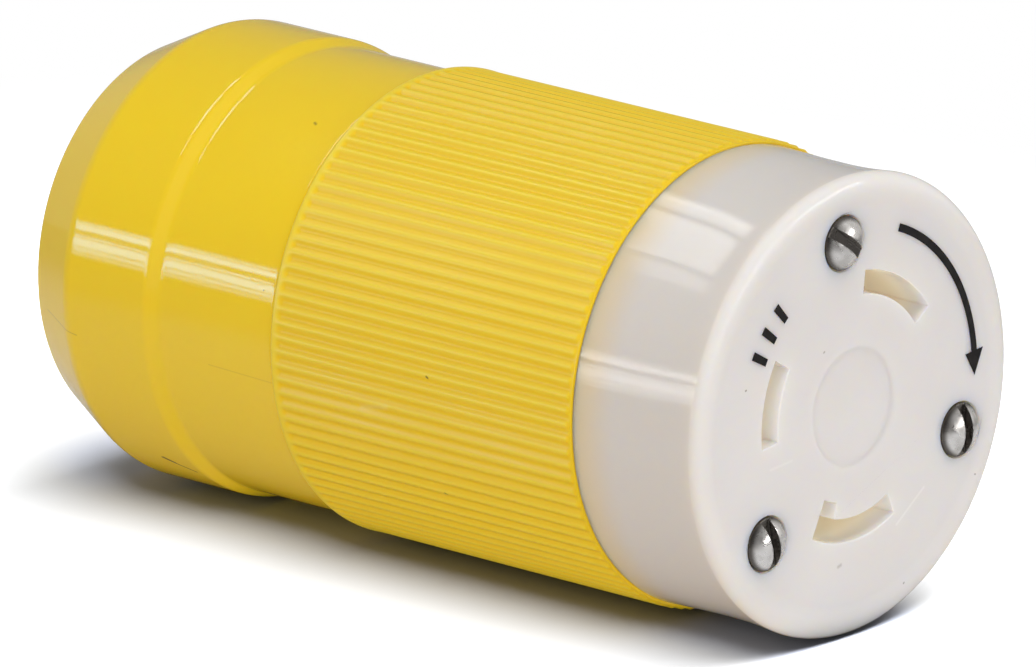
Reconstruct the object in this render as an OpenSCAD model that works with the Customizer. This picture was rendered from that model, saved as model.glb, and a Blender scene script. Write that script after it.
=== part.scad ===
// Locking power cord connector for a boat's shore supply, female end.
// It stands on its rear end. +Z runs from the cable entry up to the face, and the origin is the
// centre of the rear end. Seen from the front with +Y up, +X is to the right. Sizes in mm.

/* [Boot] */
// Length of the taper at the rear end
taper_l = 7.9; // [6:0.1:14]
// Length of the wide tail
tail_l = 11.75; // [10:0.05:24]
// Length of the shoulder between tail and neck
shoulder_l = 1.7; // [1.2:0.1:3]
// Length of the neck up to the grip
neck_l = 17.3; // [14:0.05:30]
// Depth of the neck below the grip's ribs
neck_drop = 0.95; // [0.75:0.05:1.6]
// Height of the wide tail over the neck
tail_rise = 0.75; // [0.3:0.05:2]
// Inward lean of the taper, from the tail to the flat rear end
taper_in = 3.8; // [2:0.1:6]
// Wall of the boot round the housing's neck
boot_wall = 1.6; // [1.2:0.1:2.4]
// Wall of the boot round the clamp
tail_wall = 2.2; // [1.8:0.1:3]
// Thickness of the rear end wall
end_wall = 3; // [2:0.1:4]
// Diameter of the cable hole
cable_d = 13.5; // [10:0.1:14]
// Wall of the collar that seals on the cable
collar_wall = 2.2; // [1.5:0.1:3]
// Rounding of the rear end's edge
end_round = 1.2; // [0.4:0.1:2]
// Rounding of the edge between taper and tail
tail_round = 0.8; // [0.3:0.1:2]
// Rounding of the shoulder's two edges
shoulder_round = 2; // [0.5:0.1:2.2]
// Rounding of the neck's front edge
lip_round = 1.1; // [0.4:0.1:1.1]

/* [Grip housing] */
// Length of the ribbed grip
grip_l = 43.65; // [42:0.05:60]
// Diameter over the ribs
grip_d = 52; // [51.5:0.1:56]
// Number of ribs round the grip
rib_count = 102; // [60:1:110]
// Height of the ribs
rib_h = 0.5; // [0.3:0.05:0.7]
// Length over which a rib fades out at its end
rib_end_l = 0.7; // [0.3:0.1:0.8]
// Length of the smooth band behind the ribs
rear_band_l = 0.8; // [0.8:0.1:3]
// Length of the smooth band in front of the ribs
front_band_l = 1; // [0.8:0.1:3]
// Height of the front band over the rib valleys
band_h = 0.25; // [0.1:0.05:0.3]
// Wall of the housing under the rib valleys
housing_wall = 2.3; // [2:0.1:2.6]
// Wall of the neck inside the boot
tube_wall = 2.4; // [2:0.1:3]
// Thickness of the floor between grip bore and neck
step_t = 3; // [2:0.1:5]
// Thickness of the rear bulkhead
bulkhead_t = 3; // [2:0.1:4]
// Depth of the bulkhead inside the neck's rear edge
skirt_l = 3.5; // [2.5:0.1:5]
// Length of the bead that holds the boot
bead_l = 2; // [1.5:0.1:3]
// Height of the bead
bead_h = 0.6; // [0.3:0.1:0.7]

/* [Front body] */
// Length of the part that shows in front of the grip
front_l = 17.9; // [16:0.1:24]
// Width of the housing's front edge left showing
front_step = 0.3; // [0.2:0.05:0.6]
// Depth of the hollow waist
waist_h = 0.2; // [0.1:0.05:0.4]
// Height of the rim over the root
flare_h = 0.25; // [0.1:0.05:0.4]
// Width of the rim's rounded edge
rim_w = 2.1; // [0.8:0.1:2.4]
// Depth of the rim's rounded edge
rim_drop = 0.7; // [0.4:0.1:2]
// Thickness of the face
face_t = 4; // [3.4:0.1:5]
// Length of the spigot inside the housing
spigot_l = 8; // [7:0.1:10]
// Wall of the spigot
spigot_wall = 3.1; // [2.8:0.1:3.6]
// Wall round the contact pockets
tower_wall = 1.6; // [1.2:0.1:2]
// Diameter of the round recess in the face
recess_d = 13.8; // [8:0.1:16]
// Depth of the round recess in the face
recess_depth = 0.4; // [0.2:0.1:1]

/* [Slots and contacts] */
// Diameter of the slots' middle line
slot_circle_d = 27.4; // [26.4:0.1:28]
// Width of the slots
slot_w = 2.6; // [2.2:0.1:3]
// Start angle of the first line slot
line_1_start = 47.5; // [44:0.5:54]
// Sweep of the first line slot
line_1_sweep = 47.7; // [40:0.1:50]
// Start angle of the second line slot
line_2_start = 160.5; // [156:0.5:166]
// Sweep of the second line slot
line_2_sweep = 38; // [36:0.1:44]
// Start angle of the earth slot
earth_start = -104; // [-108:0.5:-100]
// Sweep of the earth slot
earth_sweep = 53; // [46:0.5:56]
// Sweep of the earth slot's inward leg
leg_sweep = 11.4; // [9:0.1:14]
// Reach of the earth slot's inward leg
leg_reach = 1.8; // [1:0.1:2.2]
// Depth of the contact pockets below the face
contact_recess = 9; // [6:0.1:10]
// Length of the contact jaws
jaw_l = 14; // [12:0.1:15]
// Thickness of the contacts' spring leaves
leaf_t = 0.7; // [0.5:0.05:0.8]
// Gap between the spring leaves where they pinch
pinch_gap = 1.4; // [1:0.1:1.6]
// Thickness of the contact tabs
tab_t = 1.4; // [1:0.1:1.6]
// Width of the contact tabs
tab_w = 8; // [6.5:0.1:8.4]
// Room for a stripped wire between tab and plate
wire_gap = 3.2; // [2.4:0.1:3.4]
// Thickness of the pressure plates
plate_t = 1.8; // [1.5:0.1:2]

/* [Terminal block] */
// Length of the terminal block
block_l = 18.3; // [16:0.1:19]
// Thickness of the block's floor
block_floor = 2; // [1.5:0.1:3]
// Height of the terminal screws over the block's rear end
terminal_h = 9; // [7:0.1:10]
// Diameter of the wire holes
wire_hole_d = 5; // [4:0.1:5.4]
// Diameter of the moulded core hole
core_d = 10; // [6:0.5:12]
// Depth of the moulded core hole
core_depth = 12; // [8:0.5:14]

/* [Fasteners] */
// Distance of the assembly screws from the housing's bore
screw_inset = 4.5; // [4.3:0.1:4.8]
// Angle of the upper assembly screw
upper_screw_angle = 107.5; // [105:0.5:110]
// Angle of the right assembly screw
right_screw_angle = -8; // [-12:0.5:-4]
// Angle of the lower assembly screw
lower_screw_angle = -126.5; // [-130:0.5:-122]
// Diameter of the assembly screws
screw_d = 3.5; // [3:0.1:3.6]
// Diameter of the assembly screws' heads
screw_head_d = 6; // [5.6:0.1:6.2]
// Height of the assembly screws' heads
screw_head_h = 2.7; // [2.2:0.1:3]
// Height of the assembly screws' domes over the face
head_proud = 1.5; // [0:0.1:1.6]
// Diameter of the counterbores in the face
counterbore_d = 6.3; // [6.3:0.1:7.4]
// Length of the threaded inserts
insert_l = 8; // [6:0.1:10]
// Wall of the threaded inserts
insert_wall = 1; // [0.8:0.1:1.2]
// Diameter of the bosses that hold the inserts
boss_d = 9.6; // [8.4:0.1:10]
// Length of the bosses below the terminal block
boss_l = 12; // [11.5:0.1:14]
// Diameter of the terminal and clamp screws
small_screw_d = 3.9; // [3.4:0.1:4]
// Diameter of the terminal and clamp screws' heads
small_head_d = 7; // [6:0.1:7.2]
// Height of the terminal and clamp screws' heads
small_head_h = 2.4; // [2:0.1:2.6]

/* [Cord clamp] */
// Length of the loose jaw
clamp_l = 10.5; // [8.5:0.1:11]
// Height of each jaw from the middle
clamp_h = 12; // [11.5:0.1:12.5]
// Gap between the jaws
clamp_gap = 1; // [0.6:0.1:2]
// Diameter of the throat for the cable
throat_d = 14.8; // [14.2:0.1:16]
// Height of the grip ridges in the throat
ridge_h = 0.5; // [0.3:0.1:0.5]
// Distance of the clamp screws from the jaws' ends
clamp_screw_inset = 7.5; // [6.8:0.1:8]
// Width across the flats of the clamp nuts
nut_af = 7; // [6:0.1:7]
// Thickness of the clamp nuts
nut_t = 3.2; // [2.6:0.1:3.4]

/* [Hidden] */
$fn = 96;

// Colours
yellow = [0.91, 0.78, 0.18];
nylon = [0.87, 0.85, 0.82];
brass = [0.80, 0.64, 0.28];
steel = [0.72, 0.73, 0.75];
rubber = [0.12, 0.12, 0.12];

// Clearances
slip = 0.05;     // close sliding fits and threads
fit = 0.2;       // moulded pieces that drop into each other
bolt_gap = 0.25; // screws in their clearance holes
join = 0.2;      // overlap of shapes that are one piece
past = 1;        // reach of a cut beyond a surface

// Heights along the axis
z_tail = taper_l;
z_shoulder = z_tail + tail_l;
z_neck = z_shoulder + shoulder_l;
z_grip = z_neck + neck_l;
z_joint = z_grip + grip_l;
z_face = z_joint + front_l;
z_back = z_face - face_t;
z_spigot = z_joint - spigot_l;
z_block = z_spigot - block_l;
z_boss = z_block - boss_l;
z_step = z_grip + step_t;
z_tube = z_shoulder - bead_l;
z_bulkhead = z_tube + skirt_l;

// Radii of the housing and boot, from the ribs inwards
crest_r = grip_d / 2;
valley_r = crest_r - rib_h;
band_r = valley_r + band_h;
rear_r = crest_r + slip;
bore_r = valley_r - housing_wall;
neck_r = crest_r - neck_drop;
tail_r = neck_r + tail_rise;
end_r = tail_r - taper_in;
sleeve_r = neck_r - boot_wall;
tube_r = sleeve_r - slip;
tube_in_r = tube_r - tube_wall;
cable_r = cable_d / 2;

// Front body
root_r = band_r - front_step;
waist_r = root_r - waist_h;
rim_r = root_r + flare_h;
spigot_r = bore_r - slip;
cavity_r = spigot_r - spigot_wall;
waist_share = 0.55;   // height of the waist along the skirt
skirt_steps = 10;
round_steps = 8;

// Ring seal and its groove
seal_d = 1.5;
seal_r = bore_r - slip - seal_d / 2;
groove_r = seal_r - seal_d / 2 - slip;
groove_w = seal_d + 2 * fit;
z_seal = z_spigot + spigot_l / 2;

// Slots, contacts and terminals
mid_r = slot_circle_d / 2;
SLOTS = [
  [line_1_start, line_1_sweep],
  [line_2_start, line_2_sweep],
  [earth_start, earth_sweep]
];
LINE_1 = 0;
LINE_2 = 1;
EARTH = 2;
tip_open = 0.9;                  // extra opening of the leaves at their tips
root_open = 0.6;                 // extra opening of the leaves at their root
lead_gap = pinch_gap + tip_open;
base_gap = pinch_gap + root_open;
pinch_depth = 3;                 // depth of the pinch below the tips
jaw_half = lead_gap / 2 + leaf_t;
jaw_inset = 1;                   // degrees that a jaw is short of its slot at each end
pocket_half = jaw_half + bolt_gap;
pocket_margin = 1.5;             // degrees that a pocket is past its slot at each end
tower_margin = 7.5;              // degrees that a tower is past its slot at each end
leg_in_r = mid_r - slot_w / 2 - leg_reach;
z_pocket = z_face - contact_recess;
z_tip = z_pocket - fit;
z_base = z_tip - jaw_l;
z_floor = z_block + block_floor;
z_terminal = z_block + terminal_h;
tab_out = mid_r + tab_t / 2;
tab_in = mid_r - tab_t / 2;
plate_out = tab_in - wire_gap;
plate_in = plate_out - plate_t;
wire_r = (tab_in + plate_out) / 2;
plate_inset = 0.5;               // width by which a plate is short of its tab at each side
plate_w = tab_w - 2 * plate_inset;
plate_l = 8;
block_r = bore_r - fit;
pocket_w = tab_w + 2 * fit;
screw_past = 0.5;                // reach of a screw's tip beyond its nut or plate
head_room = 0.3;                 // space round a sunk head
funnel = 1;                      // widening of the wire holes at the rear

// Assembly screws
screw_r = bore_r - screw_inset;
SCREW_ANGLES = [upper_screw_angle, right_screw_angle, lower_screw_angle];
DRIVER_ANGLES = [-26, -77, -66];
z_seat = z_face + head_proud - screw_head_h;
shank_hole_r = screw_d / 2 + bolt_gap;
column_wall = 0.9;    // wall round the counterbores
column_r = counterbore_d / 2 + column_wall;
insert_r = screw_d / 2 + slip + insert_wall;
z_screw_tip = z_block - insert_l - screw_past;
driver_w = 1.25;
driver_depth = 1.4;
dome_share = 0.55;    // part of a head's height that is domed
tip_bevel = 0.4;      // bevel round a screw's tip
tip_bevel_l = 0.6;

// Cord clamp
clamp_room = 2;       // gap between the loose jaw and the bulkhead
collar_room = 1.5;    // gap between the collar and the jaws
clamp_side_room = 1;  // gap between the jaws and the neck
clamp_screw_h = 4.5;  // height of the clamp screws over the jaws' rear end
clamp_driver_turn = 40;
RIDGE_SHARES = [0.3, 0.7];
z_clamp_top = z_bulkhead - clamp_room;
z_clamp = z_clamp_top - clamp_l;
z_collar = z_clamp - collar_room;
clamp_r = tube_in_r - clamp_side_room;
clamp_screw_x = clamp_r - clamp_screw_inset;
throat_r = throat_d / 2;
z_clamp_screw = z_clamp + clamp_screw_h;
nut_r = nut_af / sqrt(3);
cable_room = 0.15;    // gap between the cable hole and the grommet's bore
grommet_wall = 2.5;
grommet_in_r = cable_r + cable_room;
grommet_r = grommet_in_r + grommet_wall;
flange_w = 2.2;
flange_t = 1.6;

// Profiles and small shapes

// Points of the arc that rounds corner p, between its neighbours a and b, to a radius
function corner_arc(a, p, b, radius) =
  let (
    u = (a - p) / norm(a - p),
    v = (b - p) / norm(b - p),
    half = acos(u * v) / 2,
    centre = p + (u + v) / norm(u + v) * radius / sin(half),
    from = p + u * radius / tan(half) - centre,
    to = p + v * radius / tan(half) - centre,
    start = atan2(from.y, from.x),
    turn = (atan2(to.y, to.x) - start + 540) % 360 - 180
  )
  [for (i = [0 : round_steps]) let (t = start + turn * i / round_steps)
    centre + radius * [cos(t), sin(t)]];

// An outline of [r, z, radius] corners, each rounded to its radius, or sharp where that is 0
function rounded(corners) =
  let (n = len(corners), flat = [for (c = corners) [c.x, c.y]])
  [for (i = [0 : n - 1])
    each corners[i].z == 0
      ? [flat[i]]
      : corner_arc(flat[(i + n - 1) % n], flat[i], flat[(i + 1) % n], corners[i].z)];

// Radius of the skirt at a share t of its straight height: in to the waist, then out to the rim
function skirt_r(t) =
  t < waist_share
    ? root_r - waist_h * (1 - pow(1 - t / waist_share, 2))
    : waist_r + (rim_r - waist_r) * pow((t - waist_share) / (1 - waist_share), 2);

// Height of a rib's wave, 0 in the valley and 1 on the crest, at a share t of its pitch
function rib_wave(t) = 0.5 - 0.5 * cos(360 * t);
rib_steps = 6;
rib_root = 0.6;       // depth of the ribs' foot below the valleys
grip_edge = 0.35;     // rounding of the grip's two end edges

// Part of a ring, from a start angle through a sweep
module arc_ring(inner, outer, bottom, top, start, sweep) {
  rotate_extrude(angle = sweep, start = start)
    translate([inner, bottom])
      square([outer - inner, top - bottom]);
}

module at_angle(a) {
  rotate([0, 0, a])
    children();
}

// Screw along +Z with its head's seat at the origin and a slot across the head
module slotted_screw(shank_r, length, head_r, head_h, slot_turn) {
  side_h = head_h * (1 - dome_share);
  dome_h = head_h - side_h;
  dome_r = (head_r * head_r + dome_h * dome_h) / (2 * dome_h);
  dome_a = asin(head_r / dome_r);
  difference() {
    rotate_extrude()
      polygon(concat(
        [[0, -length], [shank_r - tip_bevel, -length], [shank_r, -length + tip_bevel_l]],
        [[shank_r, 0], [head_r, 0]],
        [for (i = [0 : round_steps - 1]) let (a = dome_a * (1 - i / round_steps))
          [dome_r * sin(a), head_h - dome_r * (1 - cos(a))]],
        [[0, head_h]]
      ));
    rotate([0, 0, slot_turn])
      translate([-head_r - past, -driver_w / 2, head_h - driver_depth])
        cube([2 * (head_r + past), driver_w, driver_depth + past]);
  }
}

// Front body

module skirt() {
  z_round = z_face - rim_drop;
  rotate_extrude()
    polygon(concat(
      [[0, z_spigot], [spigot_r, z_spigot], [spigot_r, z_joint]],
      [for (i = [0 : skirt_steps - 1]) let (t = i / skirt_steps)
        [skirt_r(t), z_joint + t * (z_round - z_joint)]],
      [for (i = [0 : round_steps]) let (a = 90 * i / round_steps)
        [rim_r + rim_w * (cos(a) - 1), z_round + rim_drop * sin(a)]],
      [[0, z_face]]
    ));
}

module contact_tower(slot) {
  reach = slot == EARTH ? leg_in_r - fit : mid_r - pocket_half;
  arc_ring(reach - tower_wall, mid_r + pocket_half + tower_wall, z_spigot - 2 * past, z_back + past,
    SLOTS[slot][0] - tower_margin, SLOTS[slot][1] + 2 * tower_margin);
}

// The hollow behind the face, round the contact towers and the screw columns
module core_space() {
  difference() {
    translate([0, 0, z_spigot - past])
      cylinder(r = cavity_r, h = z_back - z_spigot + past);
    for (slot = [LINE_1, LINE_2, EARTH])
      contact_tower(slot);
    for (a = SCREW_ANGLES)
      at_angle(a)
        translate([screw_r, 0, z_spigot - 2 * past])
          cylinder(r = column_r, h = z_back - z_spigot + 3 * past);
  }
}

module contact_pocket(slot) {
  start = SLOTS[slot][0] - pocket_margin;
  arc_ring(mid_r - pocket_half, mid_r + pocket_half, z_spigot - past, z_pocket,
    start, SLOTS[slot][1] + 2 * pocket_margin);
  arc_ring(mid_r - slot_w / 2, mid_r + slot_w / 2, z_pocket - join, z_face + past,
    SLOTS[slot][0], SLOTS[slot][1]);
  if (slot == EARTH) {
    arc_ring(leg_in_r - fit, mid_r, z_spigot - past, z_pocket, start, leg_sweep + 2 * pocket_margin);
    arc_ring(leg_in_r, mid_r, z_pocket - join, z_face + past, SLOTS[slot][0], leg_sweep);
  }
}

module front_body() {
  color(nylon)
    difference() {
      skirt();
      core_space();
      for (slot = [LINE_1, LINE_2, EARTH])
        contact_pocket(slot);
      for (a = SCREW_ANGLES)
        at_angle(a)
          translate([screw_r, 0, 0]) {
            translate([0, 0, z_spigot - past])
              cylinder(r = shank_hole_r, h = z_face - z_spigot + 2 * past);
            translate([0, 0, z_seat])
              cylinder(d = counterbore_d, h = screw_head_h);
          }
      translate([0, 0, z_face - recess_depth])
        cylinder(d = recess_d, h = recess_depth + past);
      rotate_extrude()
        translate([groove_r, z_seal - groove_w / 2])
          square([spigot_r - groove_r + past, groove_w]);
    }
}

module housing_seal() {
  color(rubber)
    rotate_extrude()
      translate([seal_r, z_seal])
        circle(d = seal_d);
}

// Terminal block, contacts and terminals

function slot_middle(slot) = SLOTS[slot][0] + SLOTS[slot][1] / 2;

module terminal_pocket() {
  deep = plate_in - screw_past - fit;
  translate([deep, -pocket_w / 2, z_floor])
    cube([tab_out + slip - deep, pocket_w, z_spigot - z_floor + past]);
  translate([mid_r, 0, z_terminal])
    rotate([0, 90, 0])
      cylinder(d = small_head_d + 2 * head_room, h = block_r - mid_r + past);
  translate([wire_r, 0, z_block - past])
    cylinder(d = wire_hole_d, h = block_floor + 2 * past);
  translate([wire_r, 0, z_block - join])
    cylinder(d1 = wire_hole_d + 2 * funnel, d2 = wire_hole_d, h = funnel + join);
}

module terminal_block() {
  color(nylon)
    difference() {
      translate([0, 0, z_block])
        cylinder(r = block_r, h = block_l);
      for (slot = [LINE_1, LINE_2, EARTH])
        at_angle(slot_middle(slot))
          terminal_pocket();
      for (a = SCREW_ANGLES)
        at_angle(a)
          translate([screw_r, 0, z_block - past])
            cylinder(r = shank_hole_r, h = block_l + 2 * past);
      translate([0, 0, z_block - past])
        cylinder(d = core_d, h = core_depth + past);
    }
}

// Section of a contact jaw: a base with two leaves that close to a pinch and open at the tips
module jaw_section() {
  half = [base_gap / 2, pinch_gap / 2, lead_gap / 2];
  height = [tab_t, jaw_l - pinch_depth, jaw_l];
  polygon(concat(
    [[-half[0] - leaf_t, 0], [half[0] + leaf_t, 0]],
    [for (i = [1, 2]) [half[i] + leaf_t, height[i]]],
    [for (i = [2, 1, 0]) [half[i], height[i]]],
    [for (i = [0, 1, 2]) [-half[i], height[i]]],
    [for (i = [2, 1]) [-half[i] - leaf_t, height[i]]]
  ));
}

module contact(slot) {
  z_tab = z_floor + slip;
  color(brass)
    difference() {
      union() {
        rotate_extrude(angle = SLOTS[slot][1] - 2 * jaw_inset, start = SLOTS[slot][0] + jaw_inset)
          translate([mid_r, z_base])
            jaw_section();
        at_angle(slot_middle(slot))
          translate([tab_in, -tab_w / 2, z_tab])
            cube([tab_t, tab_w, z_base + tab_t / 2 - z_tab]);
      }
      at_angle(slot_middle(slot))
        translate([tab_in - past, 0, z_terminal])
          rotate([0, 90, 0])
            cylinder(r = small_screw_d / 2 + bolt_gap, h = tab_t + 2 * past);
    }
}

module contact_line_1() {
  contact(LINE_1);
}

module contact_line_2() {
  contact(LINE_2);
}

module contact_earth() {
  contact(EARTH);
}

module pressure_plate(slot) {
  color(steel)
    at_angle(slot_middle(slot))
      difference() {
        translate([plate_in, -plate_w / 2, z_terminal - plate_l / 2])
          cube([plate_t, plate_w, plate_l]);
        translate([plate_in - past, 0, z_terminal])
          rotate([0, 90, 0])
            cylinder(r = small_screw_d / 2 + slip, h = plate_t + 2 * past);
      }
}

module pressure_plate_1() {
  pressure_plate(LINE_1);
}

module pressure_plate_2() {
  pressure_plate(LINE_2);
}

module pressure_plate_earth() {
  pressure_plate(EARTH);
}

module terminal_screw(slot) {
  color(brass)
    at_angle(slot_middle(slot))
      translate([tab_out, 0, z_terminal])
        rotate([0, 90, 0])
          slotted_screw(small_screw_d / 2, tab_out - plate_in + screw_past, small_head_d / 2,
            small_head_h, 0);
}

module terminal_screw_1() {
  terminal_screw(LINE_1);
}

module terminal_screw_2() {
  terminal_screw(LINE_2);
}

module terminal_screw_earth() {
  terminal_screw(EARTH);
}

// Assembly screws and the threads that they run into

module assembly_screw(i) {
  color(steel)
    at_angle(SCREW_ANGLES[i])
      translate([screw_r, 0, z_seat])
        slotted_screw(screw_d / 2, z_seat - z_screw_tip, screw_head_d / 2, screw_head_h,
          DRIVER_ANGLES[i] - SCREW_ANGLES[i]);
}

module assembly_screw_1() {
  assembly_screw(0);
}

module assembly_screw_2() {
  assembly_screw(1);
}

module assembly_screw_3() {
  assembly_screw(2);
}

module boss_insert(i) {
  color(brass)
    at_angle(SCREW_ANGLES[i])
      translate([screw_r, 0, z_block - insert_l])
        difference() {
          cylinder(r = insert_r, h = insert_l);
          translate([0, 0, -past])
            cylinder(r = screw_d / 2 + slip, h = insert_l + 2 * past);
        }
}

module boss_insert_1() {
  boss_insert(0);
}

module boss_insert_2() {
  boss_insert(1);
}

module boss_insert_3() {
  boss_insert(2);
}

// Grip housing

// Ring of ribs round the grip, that start inside the rear band and fade out at the front
module ribs() {
  low = z_grip + grip_edge;
  high = z_joint - front_band_l + rib_end_l / 2;
  inner = valley_r - rib_root;
  outer = crest_r + join;
  intersection() {
    translate([0, 0, low])
      linear_extrude(high - low)
        polygon([for (i = [0 : rib_count - 1]) for (k = [0 : rib_steps - 1])
          let (a = 360 * (i + k / rib_steps) / rib_count, r = valley_r + rib_h * rib_wave(k / rib_steps))
          [r * cos(a), r * sin(a)]]);
    rotate_extrude()
      polygon([
        [inner, low], [outer, low], [outer, high - rib_end_l], [valley_r, high], [inner, high]
      ]);
  }
}

// Wall of the housing: grip, floor, neck with its bead, and the rear bulkhead
module housing_wall_solid() {
  hole_r = grommet_r + slip;
  rotate_extrude()
    polygon(rounded([
      [bore_r, z_step, 0], [bore_r, z_joint, 0], [band_r, z_joint, grip_edge],
      [band_r, z_joint - front_band_l, 0], [valley_r - join, z_joint - front_band_l, 0],
      [valley_r - join, z_grip + rear_band_l + rib_end_l / 2, 0],
      [rear_r, z_grip + rear_band_l - rib_end_l / 2, 0],
      [rear_r, z_grip, grip_edge], [tube_r, z_grip, 0], [tube_r, z_shoulder, 0],
      [tube_r + bead_h, z_shoulder, 0], [tube_r + bead_h, z_tube + bead_h, 0], [tube_r, z_tube, 0],
      [tube_in_r, z_tube, 0], [tube_in_r, z_bulkhead, 0], [hole_r, z_bulkhead, 0],
      [hole_r, z_bulkhead + bulkhead_t, 0], [tube_in_r, z_bulkhead + bulkhead_t, 0],
      [tube_in_r, z_step, 0]
    ]));
}

// Bosses that take the assembly screws, tied to the bore's wall
module boss() {
  translate([screw_r, 0, z_boss])
    cylinder(d = boss_d, h = boss_l);
  translate([screw_r, -boss_d / 2, z_boss])
    cube([bore_r - screw_r, boss_d, boss_l]);
}

module bosses() {
  intersection() {
    for (a = SCREW_ANGLES)
      at_angle(a)
        boss();
    translate([0, 0, z_boss - past])
      cylinder(r = bore_r + join, h = boss_l + 2 * past);
  }
}

// Outline of one clamp jaw over the height from y_low to y_high
module clamp_block(bottom, top, y_low, y_high) {
  intersection() {
    translate([0, 0, bottom])
      cylinder(r = clamp_r, h = top - bottom);
    translate([-clamp_r, y_low, bottom])
      cube([2 * clamp_r, y_high - y_low, top - bottom]);
  }
}

// Ring ridge in the clamp's throat
module throat_ridge(z) {
  rotate_extrude()
    polygon([
      [throat_r + join, z - ridge_h - join], [throat_r - ridge_h, z], [throat_r + join, z + ridge_h + join]
    ]);
}

// The throat of the clamp, with its two ridges left standing
module throat(bottom, top) {
  difference() {
    translate([0, 0, bottom - past])
      cylinder(r = throat_r, h = top - bottom + 2 * past);
    for (share = RIDGE_SHARES)
      throat_ridge(z_clamp + clamp_l * share);
  }
}

// Holes for the clamp screws, along Y
module clamp_holes() {
  for (side = [-1, 1])
    translate([side * clamp_screw_x, 0, z_clamp_screw])
      rotate([90, 0, 0])
        cylinder(r = small_screw_d / 2 + fit, h = 4 * clamp_h, center = true);
}

module fixed_jaw() {
  difference() {
    clamp_block(z_clamp, z_bulkhead + join, -clamp_h, -clamp_gap / 2);
    throat(z_clamp, z_bulkhead + join);
    clamp_holes();
    for (side = [-1, 1])
      translate([side * clamp_screw_x, -clamp_h + nut_t, z_clamp_screw])
        rotate([90, 0, 0])
          cylinder(r = nut_r + fit, h = nut_t + past, $fn = 6);
  }
}

module grip_housing() {
  color(yellow)
    difference() {
      union() {
        housing_wall_solid();
        ribs();
        bosses();
        fixed_jaw();
      }
      for (a = SCREW_ANGLES)
        at_angle(a)
          translate([screw_r, 0, z_screw_tip - past])
            cylinder(r = insert_r + slip, h = z_block - z_screw_tip + 2 * past);
    }
}

// Cable entry: grommet, clamp and boot

module cord_grommet() {
  bottom = z_bulkhead + join + slip;
  top = z_bulkhead + bulkhead_t;
  color(rubber)
    rotate_extrude()
      polygon([
        [grommet_in_r, bottom], [grommet_r, bottom], [grommet_r, top],
        [grommet_r + flange_w, top], [grommet_r + flange_w, top + flange_t], [grommet_in_r, top + flange_t]
      ]);
}

module cord_clamp() {
  color(yellow)
    difference() {
      clamp_block(z_clamp, z_clamp_top, clamp_gap / 2, clamp_h);
      throat(z_clamp, z_clamp_top);
      clamp_holes();
    }
}

module clamp_screw(side) {
  color(steel)
    translate([side * clamp_screw_x, clamp_h, z_clamp_screw])
      rotate([-90, 0, 0])
        slotted_screw(small_screw_d / 2, 2 * clamp_h + screw_past, small_head_d / 2, small_head_h,
          clamp_driver_turn);
}

module clamp_screw_left() {
  clamp_screw(-1);
}

module clamp_screw_right() {
  clamp_screw(1);
}

module clamp_nut(side) {
  color(steel)
    translate([side * clamp_screw_x, -clamp_h + nut_t, z_clamp_screw])
      rotate([90, 0, 0])
        difference() {
          cylinder(r = nut_r, h = nut_t, $fn = 6);
          translate([0, 0, -past])
            cylinder(r = small_screw_d / 2 + slip, h = nut_t + 2 * past);
        }
}

module clamp_nut_left() {
  clamp_nut(-1);
}

module clamp_nut_right() {
  clamp_nut(1);
}

module boot() {
  cone = taper_in / taper_l;
  inside_r = tail_r - tail_wall;
  bead_r = tube_r + bead_h + slip;
  color(yellow)
    rotate_extrude()
      polygon(rounded([
        [cable_r, 0, 0], [end_r, 0, end_round], [tail_r, z_tail, tail_round],
        [tail_r, z_shoulder, shoulder_round], [neck_r, z_neck, shoulder_round],
        [neck_r, z_grip, lip_round], [sleeve_r, z_grip, 0],
        [sleeve_r, z_shoulder + slip, 0], [bead_r, z_shoulder + slip, 0], [bead_r, z_tube - slip, 0],
        [inside_r, z_tube - slip, 0], [inside_r, z_tail, 0],
        [end_r + cone * end_wall - tail_wall, end_wall, 0], [cable_r + collar_wall, end_wall, 0],
        [cable_r + collar_wall, z_collar, 0], [cable_r, z_collar, 0]
      ]));
}

front_body();
housing_seal();
terminal_block();
contact_line_1();
contact_line_2();
contact_earth();
pressure_plate_1();
pressure_plate_2();
pressure_plate_earth();
terminal_screw_1();
terminal_screw_2();
terminal_screw_earth();
assembly_screw_1();
assembly_screw_2();
assembly_screw_3();
boss_insert_1();
boss_insert_2();
boss_insert_3();
grip_housing();
cord_grommet();
cord_clamp();
clamp_screw_left();
clamp_screw_right();
clamp_nut_left();
clamp_nut_right();
boot();
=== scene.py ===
"""Looks of a locking power cord connector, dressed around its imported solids.

The connector stands on its rear end with its face up. The camera sees it lying on its side, so the
pale floor of the picture is a sheet that stands beside the grip. Sizes are in millimetres.
"""

import logging
import math
from dataclasses import dataclass, field
from enum import Enum
from typing import Callable, ClassVar, Mapping, Optional, Sequence, Union

import bmesh
import bpy
from mathutils import Matrix, Vector


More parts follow.
